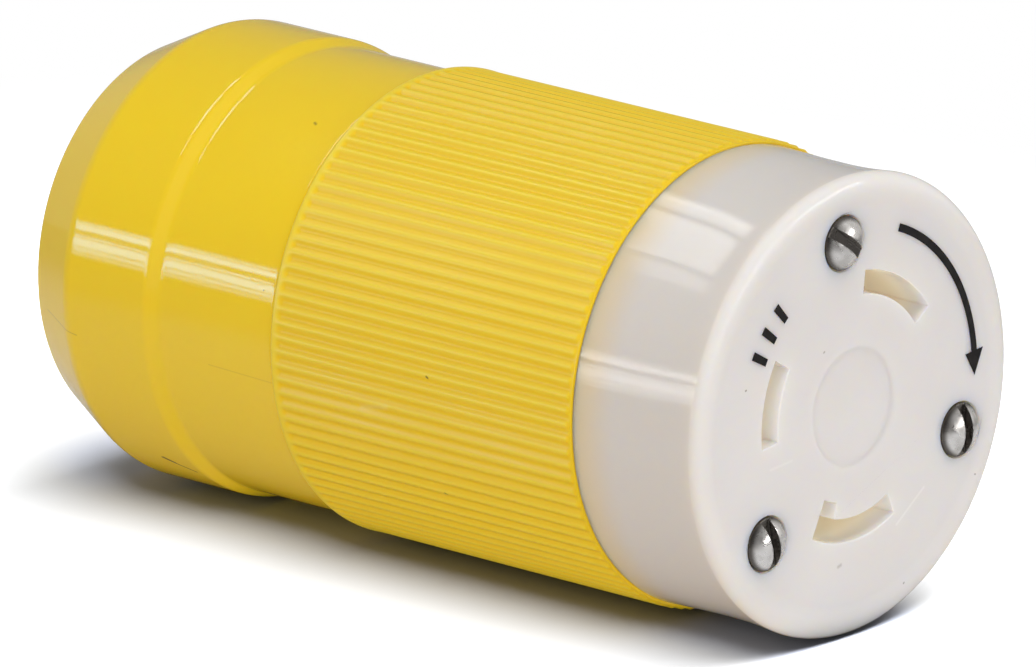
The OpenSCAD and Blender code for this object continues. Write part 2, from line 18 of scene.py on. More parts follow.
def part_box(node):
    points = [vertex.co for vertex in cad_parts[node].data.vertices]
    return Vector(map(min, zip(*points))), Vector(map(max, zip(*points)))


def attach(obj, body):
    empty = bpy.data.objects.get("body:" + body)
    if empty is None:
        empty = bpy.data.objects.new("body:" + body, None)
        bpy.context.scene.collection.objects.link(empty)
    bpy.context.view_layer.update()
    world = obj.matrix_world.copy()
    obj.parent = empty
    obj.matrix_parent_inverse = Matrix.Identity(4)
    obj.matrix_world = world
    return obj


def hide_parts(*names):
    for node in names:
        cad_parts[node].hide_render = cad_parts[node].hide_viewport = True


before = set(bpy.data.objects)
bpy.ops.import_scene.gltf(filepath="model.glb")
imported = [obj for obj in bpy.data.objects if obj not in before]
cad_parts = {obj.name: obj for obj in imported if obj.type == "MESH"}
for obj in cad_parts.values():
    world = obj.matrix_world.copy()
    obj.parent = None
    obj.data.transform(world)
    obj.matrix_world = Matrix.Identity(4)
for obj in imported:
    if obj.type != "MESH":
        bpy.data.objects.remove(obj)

MM = 0.001
BODY = "root"
LOG = logging.getLogger("connector")

SCREW_CIRCLE_R = 18.7
SCREW_ANGLES = (107.5, -8.0, -126.5)
SPARE = 1.0  # how far a cutter reaches past what it cuts
CREASE = 32.0  # an edge that turns more degrees than this is sharp
SKIN_CREASE = 40.0  # the same on the turned and ribbed yellow skins
WHITE = (1.0, 1.0, 1.0)
BLACK = (0.0, 0.0, 0.0)

Point = tuple[float, float]
Corner = tuple[float, float, float]
Colour = tuple[float, float, float]
Value = Union[float, tuple, bpy.types.NodeSocket]


class Slot(Enum):
    """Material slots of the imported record."""

    NYLON = "nylon"
    HOUSING = "yellow_housing"
    BOOT = "yellow_boot"
    BRASS = "brass"
    STEEL = "steel"
    STAINLESS = "stainless"
    RUBBER = "black_rubber"


# Meshes


def corner_arc(before: Vector, corner: Vector, after: Vector, radius: float, steps: int) -> list[Point]:
    """Rounds one corner of an outline.

    Args:
        before: The outline's point before the corner.
        corner: The sharp corner.
        after: The outline's point after the corner.
        radius: Radius of the rounding.
        steps: Number of chords in the arc.

    Returns:
        The points of the arc, from the side of before to the side of after.
    """
    u = (before - corner).normalized()
    v = (after - corner).normalized()
    half = u.angle(v) / 2
    centre = corner + (u + v).normalized() * (radius / math.sin(half))
    first = corner + u * (radius / math.tan(half)) - centre
    last = corner + v * (radius / math.tan(half)) - centre
    start = math.atan2(first.y, first.x)
    turn = math.remainder(math.atan2(last.y, last.x) - start, math.tau)
    angles = [start + turn * i / steps for i in range(steps + 1)]
    return [(centre.x + radius * math.cos(a), centre.y + radius * math.sin(a)) for a in angles]


def rounded(corners: Sequence[Corner], steps: int = 8, closed: bool = True) -> list[Point]:
    """Rounds the corners of an outline.

    Args:
        corners: Corners as (r, z, radius), sharp where the radius is 0.
        steps: Number of chords in each arc.
        closed: Whether the last corner leads back to the first.

    Returns:
        The outline's points.
    """
    spots = [Vector(c[:2]) for c in corners]
    count = len(corners)
    points: list[Point] = []
    for i, (r, z, radius) in enumerate(corners):
        at_end = not closed and i in (0, count - 1)
        if radius == 0 or at_end:
            points.append((r, z))
        else:
            points += corner_arc(spots[i - 1], spots[i], spots[(i + 1) % count], radius, steps)
    return points


def add_object(name: str, data: bpy.types.ID) -> bpy.types.Object:
    """Adds an object to the scene.

    Args:
        name: Name of the object.
        data: The mesh, lamp or camera that it holds.

    Returns:
        The new object.
    """
    added = bpy.data.objects.new(name, data)
    bpy.context.scene.collection.objects.link(added)
    return added


def aim(thing: bpy.types.Object, axes: tuple[Vector, Vector, Vector], at: Vector) -> None:
    """Turns an object's axes to three directions and moves it to a place in millimetres."""
    thing.matrix_world = Matrix(axes).transposed().to_4x4()
    thing.location = at * MM


def mesh_object(name: str, bm: bmesh.types.BMesh) -> bpy.types.Object:
    """Turns a finished bmesh into an object of the scene.

    Args:
        name: Name of the object and its mesh.
        bm: The bmesh, in millimetres, which is freed.

    Returns:
        The new object, in metres.
    """
    bmesh.ops.scale(bm, vec=(MM, MM, MM), verts=bm.verts)
    bmesh.ops.recalc_face_normals(bm, faces=bm.faces)
    mesh = bpy.data.meshes.new(name)
    bm.to_mesh(mesh)
    bm.free()
    return add_object(name, mesh)


def join_rings(bm: bmesh.types.BMesh, rings: Sequence[Sequence[bmesh.types.BMVert]]) -> None:
    """Joins each ring of vertices to the next one with quads.

    Args:
        bm: The bmesh that holds the rings.
        rings: Rings with the same number of vertices.
    """
    count = len(rings[0])
    for low, high in zip(rings, rings[1:]):
        for i in range(count):
            k = (i + 1) % count
            bm.faces.new((low[i], low[k], high[k], high[i]))


def ring_faces(bm: bmesh.types.BMesh, rings: Sequence[Sequence[bmesh.types.BMVert]],
               closed: bool) -> None:
    """Joins rings of vertices to a closed skin.

    Args:
        bm: The bmesh that holds the rings.
        rings: Rings with the same number of vertices.
        closed: Whether the last ring is joined to the first, or the two end rings are capped.
    """
    if closed:
        rings = [*rings, rings[0]]
    else:
        bm.faces.new(rings[0])
        bm.faces.new(rings[-1])
    join_rings(bm, rings)


def lathe(name: str, outline: Sequence[Point], segments: int, closed: bool,
          at: Point = (0.0, 0.0)) -> bpy.types.Object:
    """Turns an outline round an upright axis.

    Args:
        name: Name of the object.
        outline: Points as (r, z).
        segments: Number of segments round the axis.
        closed: Whether the outline closes on itself; otherwise its ends get flat caps.
        at: Where the axis stands.

    Returns:
        The turned solid.
    """
    bm = bmesh.new()
    turns = [math.tau * i / segments for i in range(segments)]
    rings = [[bm.verts.new((at[0] + r * math.cos(a), at[1] + r * math.sin(a), z)) for a in turns]
             for r, z in outline]
    ring_faces(bm, rings, closed)
    return mesh_object(name, bm)


def slab(name: str, outline: Sequence[Point], bottom: float, top: float) -> bpy.types.Object:
    """Raises a flat outline to a solid.

    Args:
        name: Name of the object.
        outline: Points as (x, y).
        bottom: Height of the lower face.
        top: Height of the upper face.

    Returns:
        The solid.
    """
    bm = bmesh.new()
    rings = [[bm.verts.new((x, y, z)) for x, y in outline] for z in (bottom, top)]
    ring_faces(bm, rings, closed=False)
    return mesh_object(name, bm)


def eased(t: float) -> float:
    """Rises smoothly from 0 to 1 as t goes from 0 to 1."""
    return t * t * (3 - 2 * t)


def polar(radius: float, degrees: float) -> Point:
    """Gives the point at a radius and an angle."""
    return radius * math.cos(math.radians(degrees)), radius * math.sin(math.radians(degrees))


def arc_band(inner: float, outer: float, start: float, sweep: float, step: float = 1.5) -> list[Point]:
    """Outlines part of a ring.

    Args:
        inner: Inner radius.
        outer: Outer radius.
        start: Angle of its first end, in degrees.
        sweep: Angle that it covers, in degrees.
        step: Angle of a chord, in degrees.

    Returns:
        The outline's points.
    """
    count = max(2, round(abs(sweep) / step))
    angles = [start + sweep * i / count for i in range(count + 1)]
    return [polar(outer, a) for a in angles] + [polar(inner, a) for a in reversed(angles)]


def settle(piece: bpy.types.Object) -> None:
    """Applies all the modifiers of a piece to its mesh.

    Args:
        piece: The piece to change.
    """
    graph = bpy.context.evaluated_depsgraph_get()
    mesh = bpy.data.meshes.new_from_object(piece.evaluated_get(graph))
    old = piece.data
    piece.modifiers.clear()
    piece.data = mesh
    mesh.name = piece.name
    bpy.data.meshes.remove(old)


def carve(body: bpy.types.Object, cutters: Sequence[bpy.types.Object]) -> None:
    """Cuts solids out of a body and deletes them.

    Args:
        body: The solid that is cut.
        cutters: The solids that are taken away.
    """
    tools = bpy.data.collections.new(body.name + "_tools")
    for cutter in cutters:
        tools.objects.link(cutter)
    cut = body.modifiers.new("cut", "BOOLEAN")
    cut.operation = "DIFFERENCE"
    cut.solver = "EXACT"
    cut.operand_type = "COLLECTION"
    cut.collection = tools
    settle(body)
    for cutter in cutters:
        mesh = cutter.data
        bpy.data.objects.remove(cutter)
        bpy.data.meshes.remove(mesh)
    bpy.data.collections.remove(tools)


def soften(piece: bpy.types.Object, width: float, angle: float = CREASE, segments: int = 3) -> None:
    """Rounds the sharp edges of a piece.

    Args:
        piece: The piece to change.
        width: Width of the rounding.
        angle: Edges that turn more than this many degrees are rounded.
        segments: Number of strips in the rounding.
    """
    edge = piece.modifiers.new("edge", "BEVEL")
    edge.limit_method = "ANGLE"
    edge.angle_limit = math.radians(angle)
    edge.width = width * MM
    edge.segments = segments
    edge.use_clamp_overlap = False
    settle(piece)


def smooth(piece: bpy.types.Object, angle: float = CREASE) -> None:
    """Shades a piece smooth, with creases.

    Args:
        piece: The piece to change.
        angle: Edges that turn more than this many degrees are creases.
    """
    piece.data.shade_smooth()
    piece.data.set_sharp_from_angle(angle=math.radians(angle))
    flow = piece.modifiers.new("flow", "WEIGHTED_NORMAL")
    flow.keep_sharp = True


# Shader nodes


class Sheet:
    """A node tree that is being filled with nodes and links."""

    def __init__(self, tree: bpy.types.NodeTree) -> None:
        """Starts on a tree."""
        self.tree = tree

    def add(self, kind: str, inputs: Optional[Mapping[Union[str, int], Value]] = None,
            **settings: object) -> bpy.types.Node:
        """Places a node.

        Args:
            kind: The node's type without its ShaderNode prefix.
            inputs: Values or sockets for its inputs, by name or index.
            **settings: Attributes of the node.

        Returns:
            The new node.
        """
        node = self.tree.nodes.new("ShaderNode" + kind)
        for name, setting in settings.items():
            setattr(node, name, setting)
        for key, value in (inputs or {}).items():
            self.feed(node.inputs[key], value)
        return node

    def feed(self, socket: bpy.types.NodeSocket, value: Value) -> None:
        """Links a socket into an input, or sets the input to a value.

        Args:
            socket: The input.
            value: The socket or value that it gets.
        """
        if isinstance(value, bpy.types.NodeSocket):
            self.tree.links.new(value, socket)
        elif isinstance(value, tuple) and len(value) == 3 and socket.type == "RGBA":
            socket.default_value = (*value, 1.0)
        else:
            socket.default_value = value

    def math(self, operation: str, *values: Value) -> bpy.types.NodeSocket:
        """Works out one arithmetic step on sockets or numbers."""
        return self.add("Math", dict(enumerate(values)), operation=operation).outputs[0]

    def rest(self, share: Value) -> bpy.types.NodeSocket:
        """Gives what a share leaves of 1."""
        return self.math("SUBTRACT", 1.0, share)

    def dot(self, first: Sequence[Value], second: Sequence[Value]) -> bpy.types.NodeSocket:
        """Gives the dot product of two flat vectors."""
        return self.math("ADD", *(self.math("MULTIPLY", a, b) for a, b in zip(first, second)))

    def length(self, x: Value, y: Value) -> bpy.types.NodeSocket:
        """Gives the length of a flat vector."""
        return self.math("SQRT", self.dot((x, y), (x, y)))

    def along(self, heading: Value, axis: Sequence[float]) -> bpy.types.NodeSocket:
        """Measures a direction along an axis."""
        node = self.add("VectorMath", {0: heading, 1: tuple(axis)}, operation="DOT_PRODUCT")
        return node.outputs["Value"]

    def spot(self) -> bpy.types.NodeSocket:
        """Gives the place of a point on its object, in metres."""
        return self.add("TexCoord").outputs["Object"]

    def noise(self, scale: Value, detail: float) -> bpy.types.NodeSocket:
        """Gives soft noise between 0 and 1 that stays with the object."""
        node = self.add("TexNoise", {"Vector": self.spot(), "Scale": scale, "Detail": detail})
        return node.outputs[0]

    def ease(self, value: Value, low: float, high: float) -> bpy.types.NodeSocket:
        """Rises smoothly from 0 to 1 as a value goes from low to high.

        Args:
            value: The value.
            low: Where the rise starts.
            high: Where it ends, on either side of low.

        Returns:
            The socket of the share.
        """
        node = self.add("MapRange", {"Value": value, "From Min": low, "From Max": high},
                        interpolation_type="SMOOTHSTEP")
        return node.outputs["Result"]

    def span(self, value: Value, low: float, high: float) -> bpy.types.NodeSocket:
        """Maps a value from 0..1 onto low..high."""
        node = self.add("MapRange", {"Value": value, "To Min": low, "To Max": high})
        return node.outputs["Result"]

    def mix(self, share: Value, first: Value, second: Value) -> bpy.types.NodeSocket:
        """Mixes two colours.

        Args:
            share: Share of the second colour.
            first: Colour at a share of 0.
            second: Colour at a share of 1.

        Returns:
            The mixed colour's socket.
        """
        node = self.add("Mix", {0: share, 6: first, 7: second}, data_type="RGBA")
        return node.outputs[2]

    def blend(self, share: Value, first: bpy.types.Node, second: bpy.types.Node) -> bpy.types.Node:
        """Mixes two shaders by the share of the second one."""
        return self.add("MixShader", {0: share, 1: first.outputs[0], 2: second.outputs[0]})


class Effect(Enum):
    """Surface effects that several finishes share, each one a node group."""

    PLACE = "place_round_axis"
    GRAIN = "moulded_grain"
    SPECKS = "dirt_specks"
    STREAK = "streak_at_place"
    DRIFT = "colour_drift"


class EffectShelf:
    """Builds each shared effect once and places it in the finishes."""

    CLOUD_EDGES: Point = (0.3, 0.7)
    SPECK_WOBBLE: Point = (0.6, 1.4)
    SPECK_WOBBLE_SCALE: float = 2500.0

    def __init__(self) -> None:
        """Starts with no group built."""
        self.groups: dict[Effect, bpy.types.NodeTree] = {}
        self.makers: dict[Effect, Callable[[bpy.types.NodeTree], None]] = {
            Effect.PLACE: self.make_place,
            Effect.GRAIN: self.make_grain,
            Effect.SPECKS: self.make_specks,
            Effect.STREAK: self.make_streak,
            Effect.DRIFT: self.make_drift,
        }

    def use(self, sheet: Sheet, effect: Effect,
            inputs: Optional[Mapping[str, Value]] = None) -> bpy.types.Node:
        """Places an effect in a material.

        Args:
            sheet: The material's nodes.
            effect: The effect to place.
            inputs: Values or sockets for the group's inputs.

        Returns:
            The group node.
        """
        if effect not in self.groups:
            group = bpy.data.node_groups.new(effect.value, "ShaderNodeTree")
            self.groups[effect] = group
            self.makers[effect](group)
        return sheet.add("Group", inputs, node_tree=self.groups[effect])

    @staticmethod
    def sockets(tree: bpy.types.NodeTree, inputs: Mapping[str, Value],
                outputs: Mapping[str, str]) -> tuple[Sheet, bpy.types.Node, bpy.types.Node]:
        """Gives a group its named inputs and outputs.

        Args:
            tree: The group.
            inputs: Names of the inputs with their usual values; a tuple makes a colour.
            outputs: Names of the outputs with Float or Color.

        Returns:
            The group's sheet, its input node and its output node.
        """
        for name, value in inputs.items():
            kind = "NodeSocketColor" if isinstance(value, tuple) else "NodeSocketFloat"
            socket = tree.interface.new_socket(name, in_out="INPUT", socket_type=kind)
            socket.default_value = (*value, 1.0) if isinstance(value, tuple) else value
        for name, kind in outputs.items():
            tree.interface.new_socket(name, in_out="OUTPUT", socket_type="NodeSocket" + kind)
        sheet = Sheet(tree)
        return sheet, tree.nodes.new("NodeGroupInput"), tree.nodes.new("NodeGroupOutput")

    def make_place(self, tree: bpy.types.NodeTree) -> None:
        """Measures where a point lies: radius, height, x and y in millimetres, angle in degrees.

        Args:
            tree: The group to fill.
        """
        names = ("Radius", "Angle", "Height", "East", "North")
        sheet, _, out = self.sockets(tree, {}, dict.fromkeys(names, "Float"))
        x, y, z = sheet.add("SeparateXYZ", {0: sheet.spot()}).outputs
        turn = sheet.math("DEGREES", sheet.math("ARCTAN2", y, x))
        sheet.feed(out.inputs["Angle"], sheet.math("FLOORED_MODULO", turn, 360.0))
        lengths = {"Radius": sheet.length(x, y), "Height": z, "East": x, "North": y}
        for name, metres in lengths.items():
            sheet.feed(out.inputs[name], sheet.math("DIVIDE", metres, MM))

    def make_grain(self, tree: bpy.types.NodeTree) -> None:
        """Gives the fine unevenness of a moulded skin and its broad dull and clear patches.

        Args:
            tree: The group to fill.
        """
        sheet, into, out = self.sockets(tree, {"Scale": 1500.0, "Patch Scale": 90.0},
                                        {"Height": "Float", "Patches": "Float"})
        sheet.feed(out.inputs["Height"], sheet.noise(into.outputs["Scale"], 3.0))
        broad = sheet.noise(into.outputs["Patch Scale"], 4.0)
        sheet.feed(out.inputs["Patches"], sheet.ease(broad, *self.CLOUD_EDGES))

    def make_specks(self, tree: bpy.types.NodeTree) -> None:
        """Scatters small specks of dirt.

        Args:
            tree: The group to fill.
        """
        sheet, into, out = self.sockets(tree, {"Scale": 200.0, "Share": 0.05, "Size": 0.03},
                                        {"Mask": "Float"})
        cells = sheet.add("TexVoronoi", {"Vector": sheet.spot(), "Scale": into.outputs["Scale"]}).outputs
        wobble = sheet.span(sheet.noise(self.SPECK_WOBBLE_SCALE, 1.0), *self.SPECK_WOBBLE)
        near = sheet.math("MULTIPLY", cells["Distance"], wobble)
        inside = sheet.math("LESS_THAN", near, into.outputs["Size"])
        luck = sheet.add("SeparateColor", {0: cells["Color"]}).outputs[0]
        chosen = sheet.math("LESS_THAN", luck, into.outputs["Share"])
        sheet.feed(out.inputs["Mask"], sheet.math("MULTIPLY", inside, chosen))

    def make_streak(self, tree: bpy.types.NodeTree) -> None:
        """Marks a thin streak between two places on a round surface, given by angle and height.

        Args:
            tree: The group to fill.
        """
        sheet, into, out = self.sockets(
            tree,
            {"Radius": 25.0, "Angle": 0.0, "Height": 0.0, "Angle A": 0.0, "Height A": 0.0,
             "Angle B": 0.0, "Height B": 1.0, "Half Width": 0.1},
            {"Mask": "Float"})
        get = into.outputs
        arc = sheet.math("MULTIPLY", get["Radius"], math.radians(1))
        across, run_x = (sheet.math("MULTIPLY", sheet.math("SUBTRACT", get[end], get["Angle A"]), arc)
                         for end in ("Angle", "Angle B"))
        along, run_z = (sheet.math("SUBTRACT", get[end], get["Height A"])
                        for end in ("Height", "Height B"))
        run = (run_x, run_z)
        passed = sheet.math("DIVIDE", sheet.dot((across, along), run), sheet.dot(run, run))
        share = sheet.add("Clamp", {0: passed}).outputs[0]
        off = sheet.length(sheet.math("SUBTRACT", across, sheet.math("MULTIPLY", run_x, share)),
                           sheet.math("SUBTRACT", along, sheet.math("MULTIPLY", run_z, share)))
        fade = sheet.rest(sheet.math("DIVIDE", off, get["Half Width"]))
        sheet.feed(out.inputs["Mask"], sheet.add("Clamp", {0: fade}).outputs[0])

    def make_drift(self, tree: bpy.types.NodeTree) -> None:
        """Lets a colour drift a little towards another in broad soft clouds.

        Args:
            tree: The group to fill.
        """
        sheet, into, out = self.sockets(
            tree, {"Color": (0.8, 0.8, 0.8), "Towards": (0.7, 0.7, 0.7), "Amount": 0.5, "Scale": 40.0},
            {"Color": "Color"})
        cloud = sheet.ease(sheet.noise(into.outputs["Scale"], 2.0), *self.CLOUD_EDGES)
        share = sheet.math("MULTIPLY", cloud, into.outputs["Amount"])
        sheet.feed(out.inputs["Color"], sheet.mix(share, into.outputs["Color"], into.outputs["Towards"]))


SHELF = EffectShelf()


# Finishes


@dataclass(frozen=True)
class Finish:
    """A finish: a material with one Principled shader, filled in by each kind of finish."""

    name: str
    colour: Colour
    towards: Colour
    roughness: float
    dull: float
    grain: float
    cloud_amount: ClassVar[float]
    cloud_scale: ClassVar[float]
    grain_scales: ClassVar[Mapping[str, float]] = {}

    def material(self) -> bpy.types.Material:
        """Builds the material, or gives it again.

        Returns:
            The material.
        """
        known = bpy.data.materials.get(self.name)
        if known:
            return known
        made = bpy.data.materials.new(self.name)
        made.use_nodes = True
        sheet = Sheet(made.node_tree)
        self.fill(sheet, made.node_tree.nodes["Principled BSDF"])
        return made

    def fill(self, sheet: Sheet, shader: bpy.types.Node) -> None:
        """Sets the shader's sockets.

        Args:
            sheet: The material's nodes.
            shader: Its Principled shader.
        """
        raise NotImplementedError

    def clouded(self, sheet: Sheet) -> bpy.types.NodeSocket:
        """Gives the finish's colour, which drifts towards its second one.

        Args:
            sheet: The material's nodes.

        Returns:
            The socket of the colour.
        """
        return SHELF.use(sheet, Effect.DRIFT, {
            "Color": self.colour, "Towards": self.towards,
            "Amount": self.cloud_amount, "Scale": self.cloud_scale}).outputs[0]

    def skin(self, sheet: Sheet, shader: bpy.types.Node) -> None:
        """Gives a shader the uneven gloss and the small bumps of the surface.

        Args:
            sheet: The material's nodes.
            shader: Its Principled shader.
        """
        grain = SHELF.use(sheet, Effect.GRAIN, self.grain_scales).outputs
        sheet.feed(shader.inputs["Roughness"], sheet.span(grain["Patches"], self.roughness, self.dull))
        relief = sheet.add("Bump", {"Height": grain["Height"], "Distance": self.grain * MM,
                                    "Strength": 1.0})
        sheet.feed(shader.inputs["Normal"], relief.outputs[0])

    def dress(self, piece: bpy.types.Object) -> None:
        """Puts the finish on a piece."""
        piece.data.materials.clear()
        piece.data.materials.append(self.material())


@dataclass(frozen=True)
class Streak:
    """A scratch, seam or smear between two places: angle and height, or x and y on the face."""

    first: Point
    last: Point
    half_width: float
    colour: Colour
    strength: float


@dataclass(frozen=True)
class Plastic(Finish):
    """Moulded plastic that lets some light in, with specks of dirt and a few streaks."""

    shine: float
    scatter: float
    scatter_length: float
    speck_share: float
    streaks: tuple[Streak, ...]
    scatter_spread: ClassVar[Colour]
    speck_strength: ClassVar[float]
    speck_colour: ClassVar[Colour]

    def specked(self, sheet: Sheet, colour: Value) -> bpy.types.NodeSocket:
        """Scatters specks of dirt over a colour."""
        specks = SHELF.use(sheet, Effect.SPECKS, {"Share": self.speck_share}).outputs[0]
        return sheet.mix(sheet.math("MULTIPLY", specks, self.speck_strength), colour, self.speck_colour)

    def streaked(self, sheet: Sheet, colour: Value, place: Mapping[str, Value]) -> Value:
        """Lays the streaks over a colour.

        Args:
            sheet: The material's nodes.
            colour: The colour beneath.
            place: Radius, angle and height of a point, as the streak effect takes them.

        Returns:
            The colour with its streaks.
        """
        for streak in self.streaks:
            mask = SHELF.use(sheet, Effect.STREAK, {
                **place, "Angle A": streak.first[0], "Height A": streak.first[1],
                "Angle B": streak.last[0], "Height B": streak.last[1],
                "Half Width": streak.half_width}).outputs[0]
            colour = sheet.mix(sheet.math("MULTIPLY", mask, streak.strength), colour, streak.colour)
        return colour

    def let_light_in(self, shader: bpy.types.Node) -> None:
        """Sets a shader's shine and how light scatters under its surface.

        Args:
            shader: The material's Principled shader.
        """
        settings = {"Specular IOR Level": self.shine, "Subsurface Weight": self.scatter,
                    "Subsurface Radius": self.scatter_spread,
                    "Subsurface Scale": self.scatter_length * MM}
        for name, setting in settings.items():
            shader.inputs[name].default_value = setting


@dataclass(frozen=True)
class YellowPlastic(Plastic):
    """Yellow moulded plastic, from glossy soft vinyl to satin."""

    radius: float
    # Painted rib shading: radii over which the painted deeper shade of the valleys gives way to the
    # crests' paler colour, a painted sheen.
    valley_shade_radii: Optional[Point] = None
    valley_shade_colour: Colour = (0.84, 0.565, 0.012)
    gleam: Colour = (0.12, 0.58, 1.0)
    cloud_amount: ClassVar[float] = 0.6
    cloud_scale: ClassVar[float] = 60.0
    scatter_spread: ClassVar[Colour] = (1.0, 0.6, 0.1)
    speck_strength: ClassVar[float] = 0.7
    speck_colour: ClassVar[Colour] = (0.12, 0.08, 0.03)

    def fill(self, sheet: Sheet, shader: bpy.types.Node) -> None:
        """Sets the shader's sockets.

        Args:
            sheet: The material's nodes.
            shader: Its Principled shader.
        """
        place = SHELF.use(sheet, Effect.PLACE).outputs
        colour = self.clouded(sheet)
        # Painted light on the ribs: the valleys are painted a deeper golden shade, and the crests keep
        # the paler colour as a painted sheen.
        if self.valley_shade_radii:
            depth = sheet.rest(sheet.ease(place["Radius"], *self.valley_shade_radii))
            colour = sheet.mix(depth, colour, self.valley_shade_colour)
        colour = self.streaked(sheet, self.specked(sheet, colour), {
            "Radius": self.radius, "Angle": place["Angle"], "Height": place["Height"]})
        sheet.feed(shader.inputs["Base Color"], colour)
        self.skin(sheet, shader)
        self.let_light_in(shader)
        shader.inputs["Specular Tint"].default_value = (*self.gleam, 1.0)


@dataclass(frozen=True)
class Nylon(Plastic):
    """Milky nylon that lets light in, with painted tan shade and a painted glow where it is deep."""

    colour: Colour = (0.755, 0.748, 0.755)
    towards: Colour = (0.735, 0.723, 0.725)
    roughness: float = 0.06
    dull: float = 0.1
    grain: float = 0.0015
    shine: float = 0.2
    scatter: float = 1.0
    scatter_length: float = 3.6
    speck_share: float = 0.06
    streaks: tuple[Streak, ...] = ()
    # Painted shade: below these heights the skirt is painted darker than the face.
    skirt: Colour = (0.66, 0.625, 0.59)
    skirt_shade_heights: Point = (100.2, 98.9)
    # Painted bounce light: below these heights the nylon is painted warm, as the yellow grip's light
    # falls on it near the joint.
    joint: Colour = (0.71, 0.58, 0.385)
    joint_bounce_heights: Point = (88.4, 82.0)
    # Painted shade: inside the face the nylon turns tan as the slots get deeper.
    tan: Colour = (0.67, 0.575, 0.43)
    slot_shade_depth: Point = (0.4, 6.0)
    # Painted glow: deep in the slots the nylon gives off light, as if it passed through the nylon.
    glow: Colour = (0.215, 0.205, 0.155)
    glow_depth: Point = (0.3, 3.8)
    face_height: float = 100.2
    inside_radius: float = 22.5
    cloud_amount: ClassVar[float] = 0.8
    cloud_scale: ClassVar[float] = 70.0
    grain_scales: ClassVar[Mapping[str, float]] = {"Scale": 900.0}
    scatter_spread: ClassVar[Colour] = (1.0, 0.8, 0.5)
    speck_strength: ClassVar[float] = 0.55
    speck_colour: ClassVar[Colour] = (0.2, 0.18, 0.15)

    def fill(self, sheet: Sheet, shader: bpy.types.Node) -> None:
        """Sets the shader's sockets.

        Args:
            sheet: The material's nodes.
            shader: Its Principled shader.
        """
        place = SHELF.use(sheet, Effect.PLACE).outputs
        depth = sheet.math("SUBTRACT", self.face_height, place["Height"])
        inside = sheet.math("LESS_THAN", place["Radius"], self.inside_radius)
        outside = sheet.rest(inside)
        colour = self.clouded(sheet)
        # Painted light and shade in the colour: the skirt darker as shade, the nylon near the joint
        # warmer as bounce light from the grip, and the slots' insides tan as shade that deepens with
        # depth.
        for side, level, limits, tint in (
                (outside, place["Height"], self.skirt_shade_heights, self.skirt),
                (outside, place["Height"], self.joint_bounce_heights, self.joint),
                (inside, depth, self.slot_shade_depth, self.tan)):
            colour = sheet.mix(sheet.math("MULTIPLY", sheet.ease(level, *limits), side), colour, tint)
        # On the flat face a streak takes x and y: at this radius a degree is a millimetre long.
        colour = self.streaked(sheet, colour, {
            "Radius": math.degrees(1), "Angle": place["East"], "Height": place["North"]})
        sheet.feed(shader.inputs["Base Color"], self.specked(sheet, colour))
        # Painted glow: the slots' insides emit light, as if it passed through the nylon.
        lit = sheet.math("MULTIPLY", sheet.ease(depth, *self.glow_depth), inside)
        sheet.feed(shader.inputs["Emission Color"], sheet.mix(lit, BLACK, self.glow))
        shader.inputs["Emission Strength"].default_value = 1.0
        self.skin(sheet, shader)
        self.let_light_in(shader)


@dataclass(frozen=True)
class Metal(Finish):
    """Turned or pressed metal with fine scratches."""

    grain: float = 0.012
    brush: float = 0.0
    dark_foot: Optional[Point] = None
    dark_foot_colour: Colour = (0.1, 0.09, 0.08)
    cloud_amount: ClassVar[float] = 0.9
    cloud_scale: ClassVar[float] = 500.0
    grain_scales: ClassVar[Mapping[str, float]] = {"Scale": 2600.0, "Patch Scale": 700.0}

    def fill(self, sheet: Sheet, shader: bpy.types.Node) -> None:
        """Sets the shader's sockets.

        Args:
            sheet: The material's nodes.
            shader: Its Principled shader.
        """
        colour = self.clouded(sheet)
        # The colour turns darker below these heights, at the heads' foot in their counterbores.
        if self.dark_foot:
            clear = sheet.ease(SHELF.use(sheet, Effect.PLACE).outputs["Height"], *self.dark_foot)
            colour = sheet.mix(clear, self.dark_foot_colour, colour)
        sheet.feed(shader.inputs["Base Color"], colour)
        self.skin(sheet, shader)
        shader.inputs["Metallic"].default_value = 1.0
        shader.inputs["Anisotropic"].default_value = self.brush


@dataclass(frozen=True)
class DarkMatter(Finish):
    """Black rubber or printing ink."""

    shine: float = 0.3
    cloud_amount: ClassVar[float] = 1.0
    cloud_scale: ClassVar[float] = 900.0
    grain_scales: ClassVar[Mapping[str, float]] = {"Scale": 1800.0}

    def fill(self, sheet: Sheet, shader: bpy.types.Node) -> None:
        """Sets the shader's sockets.

        Args:
            sheet: The material's nodes.
            shader: Its Principled shader.
        """
        sheet.feed(shader.inputs["Base Color"], self.clouded(sheet))
        self.skin(sheet, shader)
        shader.inputs["Specular IOR Level"].default_value = self.shine


